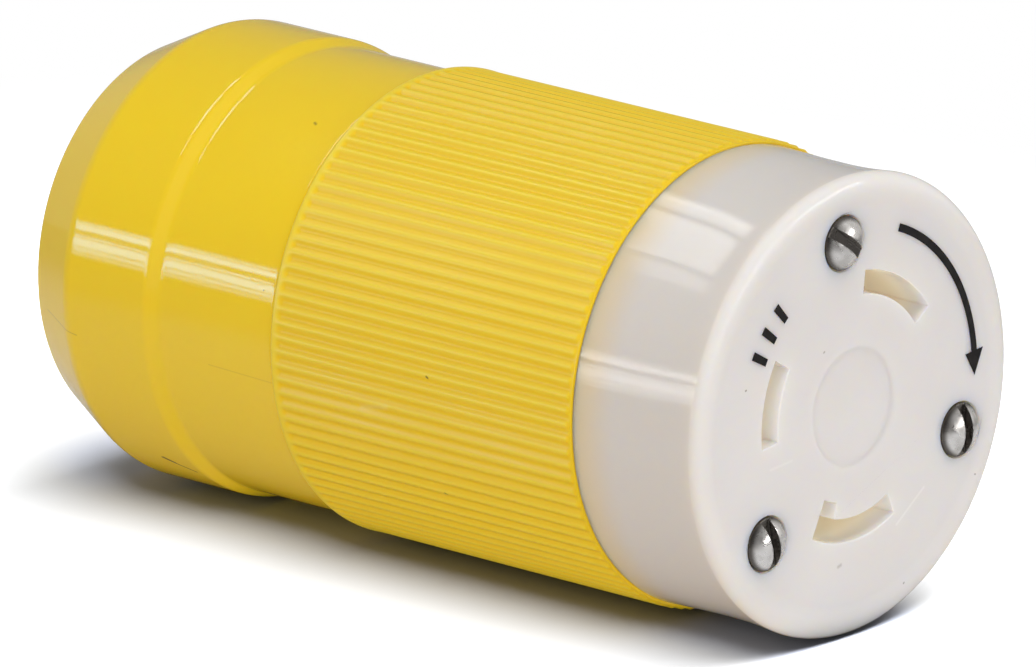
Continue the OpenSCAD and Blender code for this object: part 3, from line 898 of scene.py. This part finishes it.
GRIP_YELLOW = YellowPlastic(
    "satin_yellow_housing", colour=(0.83, 0.62, 0.035), towards=(0.82, 0.605, 0.04),
    roughness=0.32, dull=0.42, grain=0.005, shine=0.3, scatter=0.25, radius=26.0, speck_share=0.02,
    scatter_length=0.9,
    streaks=(
        Streak((201.3, 51.7), (199.6, 55.5), 0.5, (0.85, 0.7, 0.3), 0.35),
        Streak((189.2, 61.6), (189.4, 61.7), 0.22, (0.05, 0.03, 0.01), 1.0),
        Streak((221.0, 61.5), (221.3, 61.6), 0.25, (0.05, 0.03, 0.01), 1.0),
    ),
    valley_shade_radii=(25.8, 26.02))
BOOT_YELLOW = YellowPlastic(
    "glossy_yellow_boot", colour=(0.87, 0.61, 0.016), towards=(0.85, 0.59, 0.02),
    roughness=0.06, dull=0.09, grain=0.0012, shine=0.4, scatter=0.35, radius=25.5, speck_share=0.03,
    scatter_length=0.8,
    streaks=(
        Streak((199.9, 2.8), (201.8, 9.3), 0.1, (0.35, 0.22, 0.02), 0.6),
        Streak((201.5, 28.4), (202.2, 38.5), 0.12, (0.55, 0.34, 0.01), 0.4),
        Streak((239.4, 14.7), (243.8, 18.5), 0.18, (0.04, 0.025, 0.01), 1.0),
        Streak((239.2, 15.0), (240.9, 16.2), 0.3, (0.05, 0.03, 0.01), 0.9),
        Streak((132.2, 33.0), (132.6, 33.3), 0.25, (0.15, 0.09, 0.02), 0.7),
    ))
FACE_NYLON = Nylon("milky_nylon", streaks=(
    Streak((10.1, -13.0), (13.8, -8.9), 0.22, (0.86, 0.86, 0.86), 0.7),
    Streak((-12.4, -6.9), (-9.1, -5.9), 0.25, (0.82, 0.82, 0.82), 0.6),
    Streak((1.3, -17.6), (1.7, -17.4), 0.3, (0.4, 0.38, 0.35), 0.6),
    Streak((-18.5, 1.75), (-18.4, 1.8), 0.16, (0.15, 0.13, 0.1), 0.9),
    Streak((-6.4, 5.9), (-6.3, 6.0), 0.16, (0.3, 0.27, 0.22), 0.8),
    Streak((12.6, -19.5), (12.7, -19.4), 0.14, (0.2, 0.18, 0.15), 0.8),
    Streak((22.0, -7.5), (22.1, -7.5), 0.14, (0.2, 0.18, 0.15), 0.8),
))
SCREW_STEEL = Metal("worn_stainless", (0.6, 0.58, 0.56), (0.4, 0.38, 0.355), 0.2, 0.36,
                    brush=0.3, dark_foot=(100.3, 100.8))
BRASS = Metal("drawn_brass", (0.72, 0.52, 0.2), (0.55, 0.37, 0.14), 0.25, 0.4)
STEEL = Metal("plated_steel", (0.6, 0.61, 0.62), (0.45, 0.45, 0.45), 0.25, 0.4)
RUBBER = DarkMatter("black_rubber", (0.02, 0.02, 0.02), (0.035, 0.034, 0.033), 0.6, 0.75, 0.02)
INK = DarkMatter("black_ink", (0.01, 0.009, 0.009), (0.018, 0.016, 0.016), 0.5, 0.65, 0.006, 0.08)


# Sub-assemblies


def top(node: str) -> float:
    """Gives the highest point of a node, in millimetres."""
    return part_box(node)[1].z / MM


def bottom(node: str) -> float:
    """Gives the lowest point of a node, in millimetres."""
    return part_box(node)[0].z / MM


def reach(node: str) -> float:
    """Gives the largest radius of a node about the axis, in millimetres."""
    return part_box(node)[1].y / MM


def measured(measure: Callable[[str], float], node: str) -> float:
    """Makes a field whose usual value is measured on a node of the frame."""
    return field(default_factory=lambda: measure(node))


def stand_in(piece: bpy.types.Object, node: str, finish: Finish) -> None:
    """Dresses a piece and lets it stand for a node.

    Args:
        piece: The piece.
        node: The node that it stands for.
        finish: Its finish.
    """
    finish.dress(piece)
    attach(piece, BODY)
    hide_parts(node)
    LOG.info("%s: %d faces, %s", piece.name, len(piece.data.polygons), finish.name)


@dataclass
class FrontBody:
    """The pale face body: a waisted skirt, a rounded rim, slots, screw holes and a hollow behind."""

    face: float = measured(top, "front_body")
    spigot_end: float = measured(bottom, "front_body")
    joint: float = measured(top, "grip_housing")
    rim_r: float = measured(reach, "front_body")
    flare: float = 0.25
    waist: float = 0.2
    waist_share: float = 0.55
    rim_w: float = 2.1
    rim_drop: float = 1.2
    lip: float = 0.14
    lip_w: float = 1.6
    skirt_steps: int = 24
    rim_steps: int = 18
    lip_steps: int = 10
    spigot_r: float = 23.15
    groove: Corner = (21.6, 77.35, 79.25)
    cavity_r: float = 20.05
    face_t: float = 4.0
    slot_r: float = 13.7
    slot_w: float = 2.6
    slots: tuple[Point, ...] = ((47.5, 47.7), (160.5, 38.0), (-104.0, 53.0))
    leg: Corner = (10.6, -104.0, 11.4)
    pocket_depth: float = 9.0
    pocket_half: float = 2.1
    pocket_margin: float = 1.5
    pocket_overlap: float = 0.2
    tower_wall: float = 1.6
    tower_margin: float = 7.5
    screw_r: float = SCREW_CIRCLE_R
    screw_angles: tuple[float, ...] = SCREW_ANGLES
    column_r: float = 4.05
    counterbore_r: float = 3.15
    counterbore_depth: float = 1.2
    shank_hole_r: float = 2.0
    recess_r: float = 6.9
    recess_depth: float = 0.3
    recess_slope: float = 0.5
    tuck: float = 0.16
    edge: float = 0.16
    segments: int = 256
    hole_segments: int = 96

    def skirt_radius(self, share: float) -> float:
        """Gives the skirt's radius at a share of its straight height.

        Args:
            share: 0 at the joint and 1 where the rim's rounding starts.

        Returns:
            The radius.
        """
        root = self.rim_r - self.flare
        low = root - self.waist
        if share < self.waist_share:
            return root - self.waist * (1 - (1 - share / self.waist_share) ** 2)
        return low + (self.rim_r - low) * ((share - self.waist_share) / (1 - self.waist_share)) ** 2

    def outline(self) -> list[Point]:
        """Draws the outside from the spigot's end up to the face.

        Returns:
            The outline's points.
        """
        straight = self.face - self.rim_drop
        groove_r, low, high = self.groove
        points = [(self.spigot_r, self.spigot_end), (self.spigot_r, low),
                  (groove_r, low), (groove_r, high),
                  (self.spigot_r, high), (self.spigot_r, self.joint - self.tuck),
                  (self.skirt_radius(0.0), self.joint - self.tuck)]
        points += [(self.skirt_radius(i / self.skirt_steps),
                    self.joint + (straight - self.joint) * i / self.skirt_steps)
                   for i in range(self.skirt_steps)]
        for i in range(self.rim_steps + 1):
            a = math.pi / 2 * i / self.rim_steps
            points.append((self.rim_r + self.rim_w * (math.cos(a) - 1),
                           straight + (self.rim_drop + self.lip) * math.sin(a)))
        for i in range(1, self.lip_steps + 1):
            t = i / self.lip_steps
            points.append((self.rim_r - self.rim_w - self.lip_w * t,
                           self.face + self.lip * (1 + math.cos(math.pi * t)) / 2))
        return points

    def post(self, name: str, radius: float, at: Point, low: float, high: float) -> bpy.types.Object:
        """Makes an upright round bar.

        Args:
            name: Name of the bar.
            radius: Its radius.
            at: Where it stands.
            low: Height of its foot.
            high: Height of its top.

        Returns:
            The bar.
        """
        return lathe(name, [(radius, low), (radius, high)], self.hole_segments, closed=False, at=at)

    def hollow(self) -> bpy.types.Object:
        """Makes the space behind the face, round the contact towers and screw columns.

        Returns:
            The space.
        """
        space = self.post("hollow", self.cavity_r, (0, 0),
                          self.spigot_end - SPARE, self.face - self.face_t)
        low, high = self.spigot_end - 2 * SPARE, self.face - SPARE
        kept = [self.post("column", self.column_r, polar(self.screw_r, a), low, high)
                for a in self.screw_angles]
        for i, (start, sweep) in enumerate(self.slots):
            inner = self.leg[0] if i == len(self.slots) - 1 else self.slot_r - self.pocket_half
            ring = arc_band(inner - self.tower_wall, self.slot_r + self.pocket_half + self.tower_wall,
                            start - self.tower_margin, sweep + 2 * self.tower_margin)
            kept.append(slab("tower", ring, low, high))
        carve(space, kept)
        return space

    def contact_spaces(self) -> list[bpy.types.Object]:
        """Makes the slots in the face and the wider pockets behind them.

        Returns:
            The spaces.
        """
        half = self.slot_w / 2
        pocket_top = self.face - self.pocket_depth
        low, high = self.spigot_end - SPARE, self.face + SPARE
        slot_low = pocket_top - self.pocket_overlap
        spaces = []
        for start, sweep in self.slots:
            slot = arc_band(self.slot_r - half, self.slot_r + half, start, sweep)
            spaces.append(slab("slot", slot, slot_low, high))
            pocket = arc_band(self.slot_r - self.pocket_half, self.slot_r + self.pocket_half,
                              start - self.pocket_margin, sweep + 2 * self.pocket_margin)
            spaces.append(slab("pocket", pocket, low, pocket_top))
        inner, start, sweep = self.leg
        spaces.append(slab("leg", arc_band(inner, self.slot_r, start, sweep), slot_low, high))
        return spaces

    def build(self) -> bpy.types.Object:
        """Turns the body, cuts its spaces and rounds its edges.

        Returns:
            The body.
        """
        body = lathe("front_body_shell", self.outline(), self.segments, closed=False)
        cuts = [self.hollow(), *self.contact_spaces()]
        for angle in self.screw_angles:
            at = polar(self.screw_r, angle)
            cuts.append(self.post("shank_hole", self.shank_hole_r, at,
                                  self.spigot_end - SPARE, self.face - SPARE))
            cuts.append(self.post("counterbore", self.counterbore_r, at,
                                  self.face - self.counterbore_depth, self.face + SPARE))
        floor = self.face - self.recess_depth
        rise = self.recess_slope / self.recess_depth
        cuts.append(lathe("recess", [(self.recess_r - self.recess_slope, floor),
                                     (self.recess_r + rise * SPARE, self.face + SPARE)],
                          self.hole_segments, closed=False))
        carve(body, cuts)
        soften(body, self.edge)
        smooth(body)
        return body

    def make(self) -> None:
        """Builds and dresses the body."""
        stand_in(self.build(), "front_body", FACE_NYLON)


@dataclass
class GripHousing:
    """The ribbed sleeve: its outside is made anew with smooth ribs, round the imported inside."""

    front: float = measured(top, "grip_housing")
    rear: float = measured(top, "boot")
    rear_r: float = measured(reach, "grip_housing")
    rear_rise: float = 0.05
    rib_h: float = 0.5
    rib_fill: float = 0.2
    band_h: float = 0.25
    rib_count: int = 102
    rib_steps: int = 12
    edge: float = 0.35
    rear_band: float = 0.45
    rear_fade: float = 0.9
    front_edge: float = 0.12
    front_band: float = 0.14
    front_fade: float = 0.5
    fade_rows: int = 6
    edge_steps: int = 6
    seam_gap: float = 0.01
    weld: float = 0.001

    def band_r(self) -> float:
        """Gives the radius of the front band, halfway up the ribs."""
        return self.rear_r - self.rear_rise - self.rib_h + self.band_h

    def rows(self) -> list[Corner]:
        """Lists the shell's rings from front to rear.

        Returns:
            Rings as (radius, height, share of the ribs).
        """
        band_r = self.band_r()
        front_edge = corner_arc(Vector((0, self.front)), Vector((band_r, self.front)),
                                Vector((band_r, self.rear)), self.front_edge, self.edge_steps)
        rear_edge = corner_arc(Vector((self.rear_r, self.front)), Vector((self.rear_r, self.rear)),
                               Vector((0, self.rear)), self.edge, self.edge_steps)
        rows = [(band_r - self.edge - 2 * self.seam_gap, self.front, 0.0),
                *((r, z, 0.0) for r, z in front_edge)]
        for i in range(self.fade_rows + 1):
            t = i / self.fade_rows
            rows.append((band_r, self.front - self.front_band - self.front_fade * t, eased(t)))
        for i in range(self.fade_rows + 1):
            t = 1 - i / self.fade_rows
            share = eased(t)
            rows.append((self.rear_r + (band_r - self.rear_r) * share,
                         self.rear + self.rear_band + self.rear_fade * t, share))
        return rows + [(r, z, 0.0) for r, z in rear_edge]

    def build(self) -> bpy.types.Object:
        """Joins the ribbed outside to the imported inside.

        Returns:
            The housing.
        """
        bm = bmesh.new()
        bm.from_mesh(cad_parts["grip_housing"].data)
        bmesh.ops.scale(bm, vec=(1 / MM,) * 3, verts=bm.verts)
        bmesh.ops.remove_doubles(bm, verts=bm.verts, dist=self.weld)
        skin_r = self.band_r() - self.edge - self.seam_gap
        old = [f for f in bm.faces if all(math.hypot(v.co.x, v.co.y) > skin_r for v in f.verts)]
        bmesh.ops.delete(bm, geom=old, context="FACES")
        count = self.rib_count * self.rib_steps
        rings = []
        for r, z, share in self.rows():
            ring = []
            for i in range(count):
                swing = -0.5 * math.cos(math.tau * i / self.rib_steps) * (self.rib_h - self.rib_fill)
                wave = (swing + self.rib_fill / 2) * share
                ring.append(bm.verts.new((*polar(r + wave, 360 * i / count), z)))
            rings.append(ring)
        join_rings(bm, rings)
        piece = mesh_object("ribbed_housing", bm)
        smooth(piece, SKIN_CREASE)
        return piece

    def make(self) -> None:
        """Builds and dresses the housing."""
        stand_in(self.build(), "grip_housing", GRIP_YELLOW)


@dataclass
class Boot:
    """The soft boot: a tapered end, a wide tail, a shoulder and a neck that ends at the grip."""

    neck_end: float = measured(top, "boot")
    tail_r: float = measured(reach, "boot")
    taper_l: float = 7.9
    taper_in: float = 3.8
    tail_l: float = 11.75
    shoulder_l: float = 1.7
    neck_drop: float = 0.75
    end_round: float = 1.2
    tail_round: float = 3.5
    shoulder_round: float = 2.0
    lip_round: float = 1.1
    cable_round: float = 0.3
    collar_foot_round: float = 0.5
    collar_round: float = 0.4
    sleeve_wall: float = 1.6
    tail_wall: float = 2.2
    end_wall: float = 3.0
    cable_r: float = 6.75
    collar_wall: float = 2.2
    collar_top: float = 7.15
    bead: Corner = (24.05, 17.6, 19.7)
    segments: int = 256

    def outline(self) -> list[Point]:
        """Draws the boot's section.

        Returns:
            The section's points.
        """
        tail_end = self.taper_l + self.tail_l
        neck_r = self.tail_r - self.neck_drop
        end_r = self.tail_r - self.taper_in
        sleeve_r = neck_r - self.sleeve_wall
        lean = self.taper_in / self.taper_l
        bead_r, bead_low, bead_high = self.bead
        inside_r = self.tail_r - self.tail_wall
        collar_r = self.cable_r + self.collar_wall
        return rounded([
            (self.cable_r, 0, self.cable_round), (end_r, 0, self.end_round),
            (self.tail_r, self.taper_l, self.tail_round), (self.tail_r, tail_end, self.shoulder_round),
            (neck_r, tail_end + self.shoulder_l, self.shoulder_round),
            (neck_r, self.neck_end, self.lip_round), (sleeve_r, self.neck_end, 0),
            (sleeve_r, bead_high, 0), (bead_r, bead_high, 0), (bead_r, bead_low, 0),
            (inside_r, bead_low, 0), (inside_r, self.taper_l, 0),
            (end_r + lean * self.end_wall - self.tail_wall, self.end_wall, 0),
            (collar_r, self.end_wall, self.collar_foot_round),
            (collar_r, self.collar_top, self.collar_round),
            (self.cable_r, self.collar_top, self.collar_round)])

    def make(self) -> None:
        """Builds and dresses the boot."""
        piece = lathe("boot_skin", self.outline(), self.segments, closed=True)
        smooth(piece, SKIN_CREASE)
        stand_in(piece, "boot", BOOT_YELLOW)


@dataclass
class AssemblyScrews:
    """The three slotted screws with domed heads."""

    drivers: tuple[float, ...] = (-26.0, -77.0, -66.0)
    radius_on_face: float = SCREW_CIRCLE_R
    angles: tuple[float, ...] = SCREW_ANGLES
    head_r: float = 3.0
    head_h: float = 2.7
    dome_share: float = 0.55
    shank_r: float = 1.75
    tip_bevel: float = 0.4
    slot_w: float = 1.25
    slot_depth: float = 1.4
    edge: float = 0.07
    dome_steps: int = 16
    pole_r: float = 0.02
    segments: int = 72

    def build(self, node: str, angle: float, driver: float) -> bpy.types.Object:
        """Makes one screw.

        Args:
            node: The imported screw.
            angle: Where it sits round the face, in degrees.
            driver: Direction of its slot, in degrees.

        Returns:
            The screw.
        """
        crown, tip = top(node), bottom(node)
        seat = crown - self.head_h
        dome_h = self.head_h * self.dome_share
        dome_r = (self.head_r ** 2 + dome_h ** 2) / (2 * dome_h)
        spread = math.asin(self.head_r / dome_r)
        outline = [(self.shank_r - self.tip_bevel, tip), (self.shank_r, tip + self.tip_bevel),
                   (self.shank_r, seat), (self.head_r, seat)]
        for i in range(self.dome_steps):
            a = spread * (1 - i / self.dome_steps)
            outline.append((dome_r * math.sin(a), crown - dome_r * (1 - math.cos(a))))
        outline.append((self.pole_r, crown))
        at = polar(self.radius_on_face, angle)
        screw = lathe(node + "_turned", outline, self.segments, closed=False, at=at)
        half, end = self.slot_w / 2, self.head_r + SPARE
        bar = [(-end, -half), (end, -half), (end, half), (-end, half)]
        turn = Matrix.Rotation(math.radians(driver), 2)
        spots = [turn @ Vector(p) + Vector(at) for p in bar]
        carve(screw, [slab("driver_slot", [tuple(p) for p in spots],
                           crown - self.slot_depth, crown + SPARE)])
        soften(screw, self.edge)
        smooth(screw)
        return screw

    def make(self) -> None:
        """Builds and dresses the screws."""
        for i, (angle, driver) in enumerate(zip(self.angles, self.drivers), start=1):
            node = f"assembly_screw_{i}"
            stand_in(self.build(node, angle, driver), node, SCREW_STEEL)


@dataclass
class FaceMarks:
    """Printed marks on the face: three index bars and an arrow in the locking direction."""

    face: float = measured(top, "front_body")
    sunk: float = 0.02
    proud: float = 0.015
    bar_angles: tuple[float, ...] = (145.0, 154.0, 163.0)
    bar_r: Point = (16.4, 18.9)
    bar_w: float = 0.9
    arrow_r: float = 19.9
    arrow_w: float = 0.9
    arrow_tail: float = 81.0
    arrow_neck: float = 18.0
    arrow_tip: float = 10.0
    head_w: float = 2.9

    def print_shape(self, name: str, outline: Sequence[Point]) -> None:
        """Prints one flat shape on the face.

        Args:
            name: Name of the mark.
            outline: Its outline on the face.
        """
        mark = slab(name, outline, self.face - self.sunk, self.face + self.proud)
        INK.dress(mark)
        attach(mark, BODY)
        LOG.info("%s: %d faces, %s", name, len(mark.data.polygons), INK.name)

    def make(self) -> None:
        """Prints the marks."""
        half = math.degrees(self.bar_w / sum(self.bar_r))
        for i, angle in enumerate(self.bar_angles, start=1):
            self.print_shape(f"index_bar_{i}", arc_band(*self.bar_r, angle - half, 2 * half))
        half = self.arrow_w / 2
        band = arc_band(self.arrow_r - half, self.arrow_r + half, self.arrow_tail,
                        self.arrow_neck - self.arrow_tail)
        outer, inner = band[:len(band) // 2], band[len(band) // 2:]
        half = self.head_w / 2
        head = [polar(self.arrow_r + half, self.arrow_neck), polar(self.arrow_r, self.arrow_tip),
                polar(self.arrow_r - half, self.arrow_neck)]
        self.print_shape("lock_arrow", outer + head + inner)


@dataclass
class InnerParts:
    """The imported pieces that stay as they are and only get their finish."""

    finishes: tuple[tuple[str, Finish], ...] = (
        ("housing_seal", RUBBER), ("cord_grommet", RUBBER), ("terminal_block", FACE_NYLON),
        ("cord_clamp", GRIP_YELLOW), ("contact_", BRASS), ("boss_insert_", BRASS),
        ("terminal_screw_", BRASS), ("pressure_plate_", STEEL), ("clamp_screw_", STEEL),
        ("clamp_nut_", STEEL))

    def make(self) -> None:
        """Dresses each piece whose name starts with a listed word."""
        for name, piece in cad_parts.items():
            for start, finish in self.finishes:
                if name.startswith(start):
                    finish.dress(piece)
                    LOG.info("%s: %s", name, finish.name)


# Stage


MIDDLE = Vector((0.0, 0.0, 55.0))


class Lit(Enum):
    """What a lamp lights."""

    OBJECT = "all_but_floor"
    FLOOR = "floor_only"


@dataclass(frozen=True)
class SoftBox:
    """A soft square lamp that lights without showing in reflections."""

    name: str
    towards: Corner
    radiance: float
    distance: float = 700.0
    size: float = 500.0
    lit: Lit = Lit.OBJECT
    reflected: bool = False

    def pose(self) -> tuple[Vector, Vector, Point]:
        """Gives the lamp's middle, the direction of its length and its size."""
        away = Vector(self.towards).normalized()
        return MIDDLE + away * self.distance, away.orthogonal(), (self.size, self.size)


@dataclass(frozen=True)
class Pane:
    """A long lamp, which as a rule only shows in reflections, such as one pane of a window."""

    name: str
    first: Corner
    last: Corner
    width: float
    radiance: float
    lit: Lit = Lit.OBJECT
    reflected: bool = True

    def pose(self) -> tuple[Vector, Vector, Point]:
        """Gives the lamp's middle, the direction of its length and its size."""
        start, end = Vector(self.first), Vector(self.last)
        return (start + end) / 2, end - start, ((end - start).length, self.width)


Lamp = Union[SoftBox, Pane]


def hang(lamp: Lamp) -> bpy.types.Object:
    """Places a lamp so that it faces the middle of the connector.

    Args:
        lamp: The lamp.

    Returns:
        Its object.
    """
    middle, length, (along, across) = lamp.pose()
    along_axis = length.normalized()
    away = middle - MIDDLE
    away = (away - away.project(along_axis)).normalized()
    light = bpy.data.lights.new(lamp.name, "AREA")
    light.shape = "RECTANGLE"
    light.size = along * MM
    light.size_y = across * MM
    light.energy = lamp.radiance * math.pi * light.size * light.size_y
    hung = add_object(lamp.name, light)
    aim(hung, (along_axis, away.cross(along_axis), away), middle)
    hung.visible_glossy = lamp.reflected
    hung.visible_diffuse = not lamp.reflected
    return hung


def window(name: str, distance: float, heights: Point, radiance: float,
           panes: Sequence[Corner]) -> tuple[Pane, ...]:
    """Makes panes side by side that run along the connector.

    Args:
        name: Name of the window.
        distance: Distance of the panes from the axis.
        heights: Heights of their lower and upper ends.
        radiance: Brightness of a pane with a share of 1.
        panes: Panes as (first angle, last angle, share of the brightness).

    Returns:
        The panes.
    """
    made = []
    for i, (start, end, share) in enumerate(panes, start=1):
        x, y = polar(distance, (start + end) / 2)
        made.append(Pane(f"{name}_{i}", (x, y, heights[0]), (x, y, heights[1]),
                         distance * math.radians(end - start), radiance * share))
    return tuple(made)


@dataclass
class Stage:
    """The floor sheet beside the grip, the lamps, the white surround and the camera.

    A pair of limits runs from where its effect starts to where it is full.
    """

    up: Vector = field(default_factory=lambda: Vector((-0.213, 0.977, 0.0)).normalized())
    grip_r: float = measured(reach, "grip_housing")
    floor_size: float = 900.0
    floor_gap: float = 0.02
    half_length: float = 50.0
    floor_grey: Colour = (0.345, 0.35, 0.358)
    # Painted light: near the contact the floor is painted bluish, which offsets the yellow light that the
    # grip bounces into its shadow.
    bounce_offset_grey: Colour = (0.335, 0.355, 0.41)
    bounce_offset_reach: Point = (16.0, 8.0)
    shading_reach: Point = (7.0, 1.0)
    floor_mirrored: float = 0.4
    shadow_reach: Point = (70.0, 160.0)
    surround: float = 0.45
    below: Colour = (1.0, 0.78, 0.56)
    below_rise: Point = (0.1, -0.6)
    mirrored_low: float = 0.28
    mirrored_front: Point = (-0.3, 0.3)
    mirrored_rear: Point = (-0.7, -1.0)
    mirrored_rear_share: float = 0.45
    front_middle: Corner = (-0.45, 0.1, 0.887)
    front_middle_edge: Point = (0.4, 0.9)
    camera_place: Corner = (-1595.0, 257.5, 1403.3)
    camera_right: Corner = (0.65322, 0.14238, 0.74366)
    camera_up: Corner = (0.0, 0.98216, -0.18804)
    focal_px: float = 19287.35
    frame_px: float = 1036.0
    sensor: float = 36.0
    lamps: tuple[Lamp, ...] = (
        SoftBox("overhead_softbox", (-0.15, 0.95, 0.25), 3.05),
        SoftBox("side_softbox", (-0.79, -0.27, 0.55), 3.0),
        SoftBox("rear_softbox", (-0.6, 0.35, -0.72), 0.9),
        SoftBox("face_softbox", (0.25, 0.2, 0.95), 0.9),
        SoftBox("fill_softbox", (0.8, -0.45, 0.4), 1.45),
        Pane("floor_lamp", (-725.0, 415.0, 260.0), (486.4, 679.2, 260.0), 420.0, 25.0,
             lit=Lit.FLOOR, reflected=False),
        *window("side_window", 600.0, (-680.0, -120.0), 8.5,
                ((175.2, 176.2, 0.9), (176.8, 179.3, 1.2), (181.7, 182.6, 1.2), (183.4, 187.0, 1.15),
                 (187.7, 189.4, 0.9), (190.0, 191.5, 0.5), (198.5, 201.0, 0.28))),
        *window("top_window", 253.0, (-150.0, -85.0), 9.5,
                ((90.0, 92.0, 0.4), (92.0, 93.6, 0.85), (93.6, 98.5, 0.5), (101.5, 124.5, 0.6),
                 (127.5, 135.0, 0.4))),
        Pane("rim_tube_1", (320.0, 265.0, 380.0), (-57.0, 55.0, 593.0), 22.0, 16.0),
        Pane("rim_tube_2", (340.0, 225.0, 380.0), (-37.0, 15.0, 593.0), 14.0, 13.0),
    )

    def floor_material(self) -> bpy.types.Material:
        """Makes the floor's material: seen from above only, white away from the shadow.

        Returns:
            The material.
        """
        made = bpy.data.materials.new("pale_floor")
        made.use_nodes = True
        sheet = Sheet(made.node_tree)
        made.node_tree.nodes.remove(made.node_tree.nodes["Principled BSDF"])
        out = made.node_tree.nodes["Material Output"]
        path = sheet.add("LightPath").outputs
        mirrored = path["Is Glossy Ray"]
        seen = sheet.math("MAXIMUM", path["Is Camera Ray"],
                          sheet.math("MAXIMUM", mirrored, path["Is Transmission Ray"]))
        front = sheet.rest(sheet.add("NewGeometry").outputs["Backfacing"])
        x, y, _ = sheet.add("SeparateXYZ", {0: sheet.spot()}).outputs
        past_end = sheet.math("SUBTRACT", sheet.math("ABSOLUTE", y), self.half_length * MM)
        off = sheet.math("DIVIDE", sheet.length(x, sheet.math("MAXIMUM", past_end, 0.0)), MM)
        # Painted light: bluish near the contact, offsetting the grip's yellow bounce light in the shadow.
        grey = sheet.mix(sheet.ease(off, *self.bounce_offset_reach), self.floor_grey, self.bounce_offset_grey)
        dim = tuple(self.floor_mirrored * c for c in self.floor_grey)
        matt = sheet.add("BsdfDiffuse", {"Color": sheet.mix(mirrored, grey, dim)})
        white = sheet.add("Emission", {"Color": WHITE, "Strength": sheet.span(
            mirrored, 1.0, self.floor_mirrored)})
        face = sheet.blend(sheet.ease(off, *self.shadow_reach), matt, white)
        # Painted shade: close by, the floor is black to diffuse and shadow rays, a dark sheet that shades
        # the connector's underside; further off it lets them through.
        close = sheet.ease(sheet.math("DIVIDE", path["Ray Length"], MM), *self.shading_reach)
        underside_shade_sheet = sheet.blend(sheet.math("MULTIPLY", close, front), sheet.add("BsdfTransparent"),
                           sheet.add("BsdfDiffuse", {"Color": BLACK}))
        shown = sheet.blend(sheet.math("MULTIPLY", seen, front), underside_shade_sheet, face)
        sheet.feed(out.inputs["Surface"], shown.outputs[0])
        return made

    def lay_floor(self) -> bpy.types.Object:
        """Lays the floor sheet against the grip.

        Returns:
            The floor.
        """
        bm = bmesh.new()
        half = self.floor_size / 2
        corners = ((-half, -half), (half, -half), (half, half), (-half, half))
        bm.faces.new([bm.verts.new((x, y, 0)) for x, y in corners])
        floor = mesh_object("floor", bm)
        axis = Vector((0, 0, 1))
        aim(floor, (axis.cross(self.up), axis, self.up),
            axis * self.half_length - self.up * (self.grip_r + self.floor_gap))
        floor.data.materials.append(self.floor_material())
        return floor

    def hang_lamps(self, floor: bpy.types.Object) -> None:
        """Hangs the lamps, so that one lights the floor and the others all but the floor.

        Args:
            floor: The floor.
        """
        groups = {}
        for lit in Lit:
            groups[lit] = bpy.data.collections.new(lit.value)
            groups[lit].objects.link(floor)
        groups[Lit.OBJECT].collection_objects[0].light_linking.link_state = "EXCLUDE"
        for lamp in self.lamps:
            hang(lamp).light_linking.receiver_collection = groups[lamp.lit]

    def mirrored_level(self, sheet: Sheet, heading: bpy.types.NodeSocket) -> bpy.types.NodeSocket:
        """Sets how bright the surround is in reflections.

        It is bright in front and behind, and darker round the sides and about the front's middle.

        Args:
            sheet: The world's nodes.
            heading: Direction from the object.

        Returns:
            The brightness.
        """
        height = sheet.add("SeparateXYZ", {0: heading}).outputs[2]
        middle = sheet.ease(sheet.along(heading, self.front_middle), *self.front_middle_edge)
        front = sheet.math("MULTIPLY", sheet.ease(height, *self.mirrored_front), sheet.rest(middle))
        behind = sheet.math("MULTIPLY", sheet.ease(height, *self.mirrored_rear), self.mirrored_rear_share)
        return sheet.span(sheet.math("MAXIMUM", front, behind), self.mirrored_low, 1.0)

    def surround_with_white(self) -> None:
        """Makes the white surround: plain light, a little warmer from the floor's side."""
        world = bpy.data.worlds.new("white_surround")
        bpy.context.scene.world = world
        world.use_nodes = True
        sheet = Sheet(world.node_tree)
        nodes = world.node_tree.nodes
        plain = nodes["Background"]
        heading = sheet.add("TexCoord").outputs["Generated"]
        warm = sheet.ease(sheet.along(heading, self.up), *self.below_rise)
        sheet.feed(plain.inputs["Color"], sheet.mix(warm, WHITE, self.below))
        plain.inputs["Strength"].default_value = self.surround
        white = sheet.add("Background", {"Color": WHITE, "Strength": 1.0})
        level = self.mirrored_level(sheet, heading)
        mirrored = sheet.add("Background", {"Color": level, "Strength": 1.0})
        path = sheet.add("LightPath").outputs
        glossy = sheet.math("MAXIMUM", path["Is Glossy Ray"], path["Is Transmission Ray"])
        both = sheet.blend(path["Is Camera Ray"], sheet.blend(glossy, plain, mirrored), white)
        sheet.feed(nodes["World Output"].inputs["Surface"], both.outputs[0])

    def set_camera(self) -> None:
        """Places the camera at the photograph's viewing angle."""
        lens = bpy.data.cameras.new("camera")
        lens.sensor_width = self.sensor
        lens.lens = self.focal_px / self.frame_px * self.sensor
        camera = add_object("camera", lens)
        right, above = Vector(self.camera_right), Vector(self.camera_up)
        aim(camera, (right, above, right.cross(above)), Vector(self.camera_place))
        bpy.context.scene.camera = camera

    def make(self) -> None:
        """Sets up the whole stage."""
        bpy.context.scene.view_settings.view_transform = "Standard"
        self.set_camera()
        self.surround_with_white()
        self.hang_lamps(self.lay_floor())
        LOG.info("stage: %d lamps", len(self.lamps))


def main() -> None:
    """Builds the stage and the sub-assemblies in order."""
    logging.basicConfig(level=logging.INFO, format="%(message)s")
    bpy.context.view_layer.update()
    assemblies = (Stage(), FrontBody(), GripHousing(), Boot(), AssemblyScrews(), FaceMarks(),
                  InnerParts())
    for assembly in assemblies:
        assembly.make()


if __name__ == "__main__":
    main()
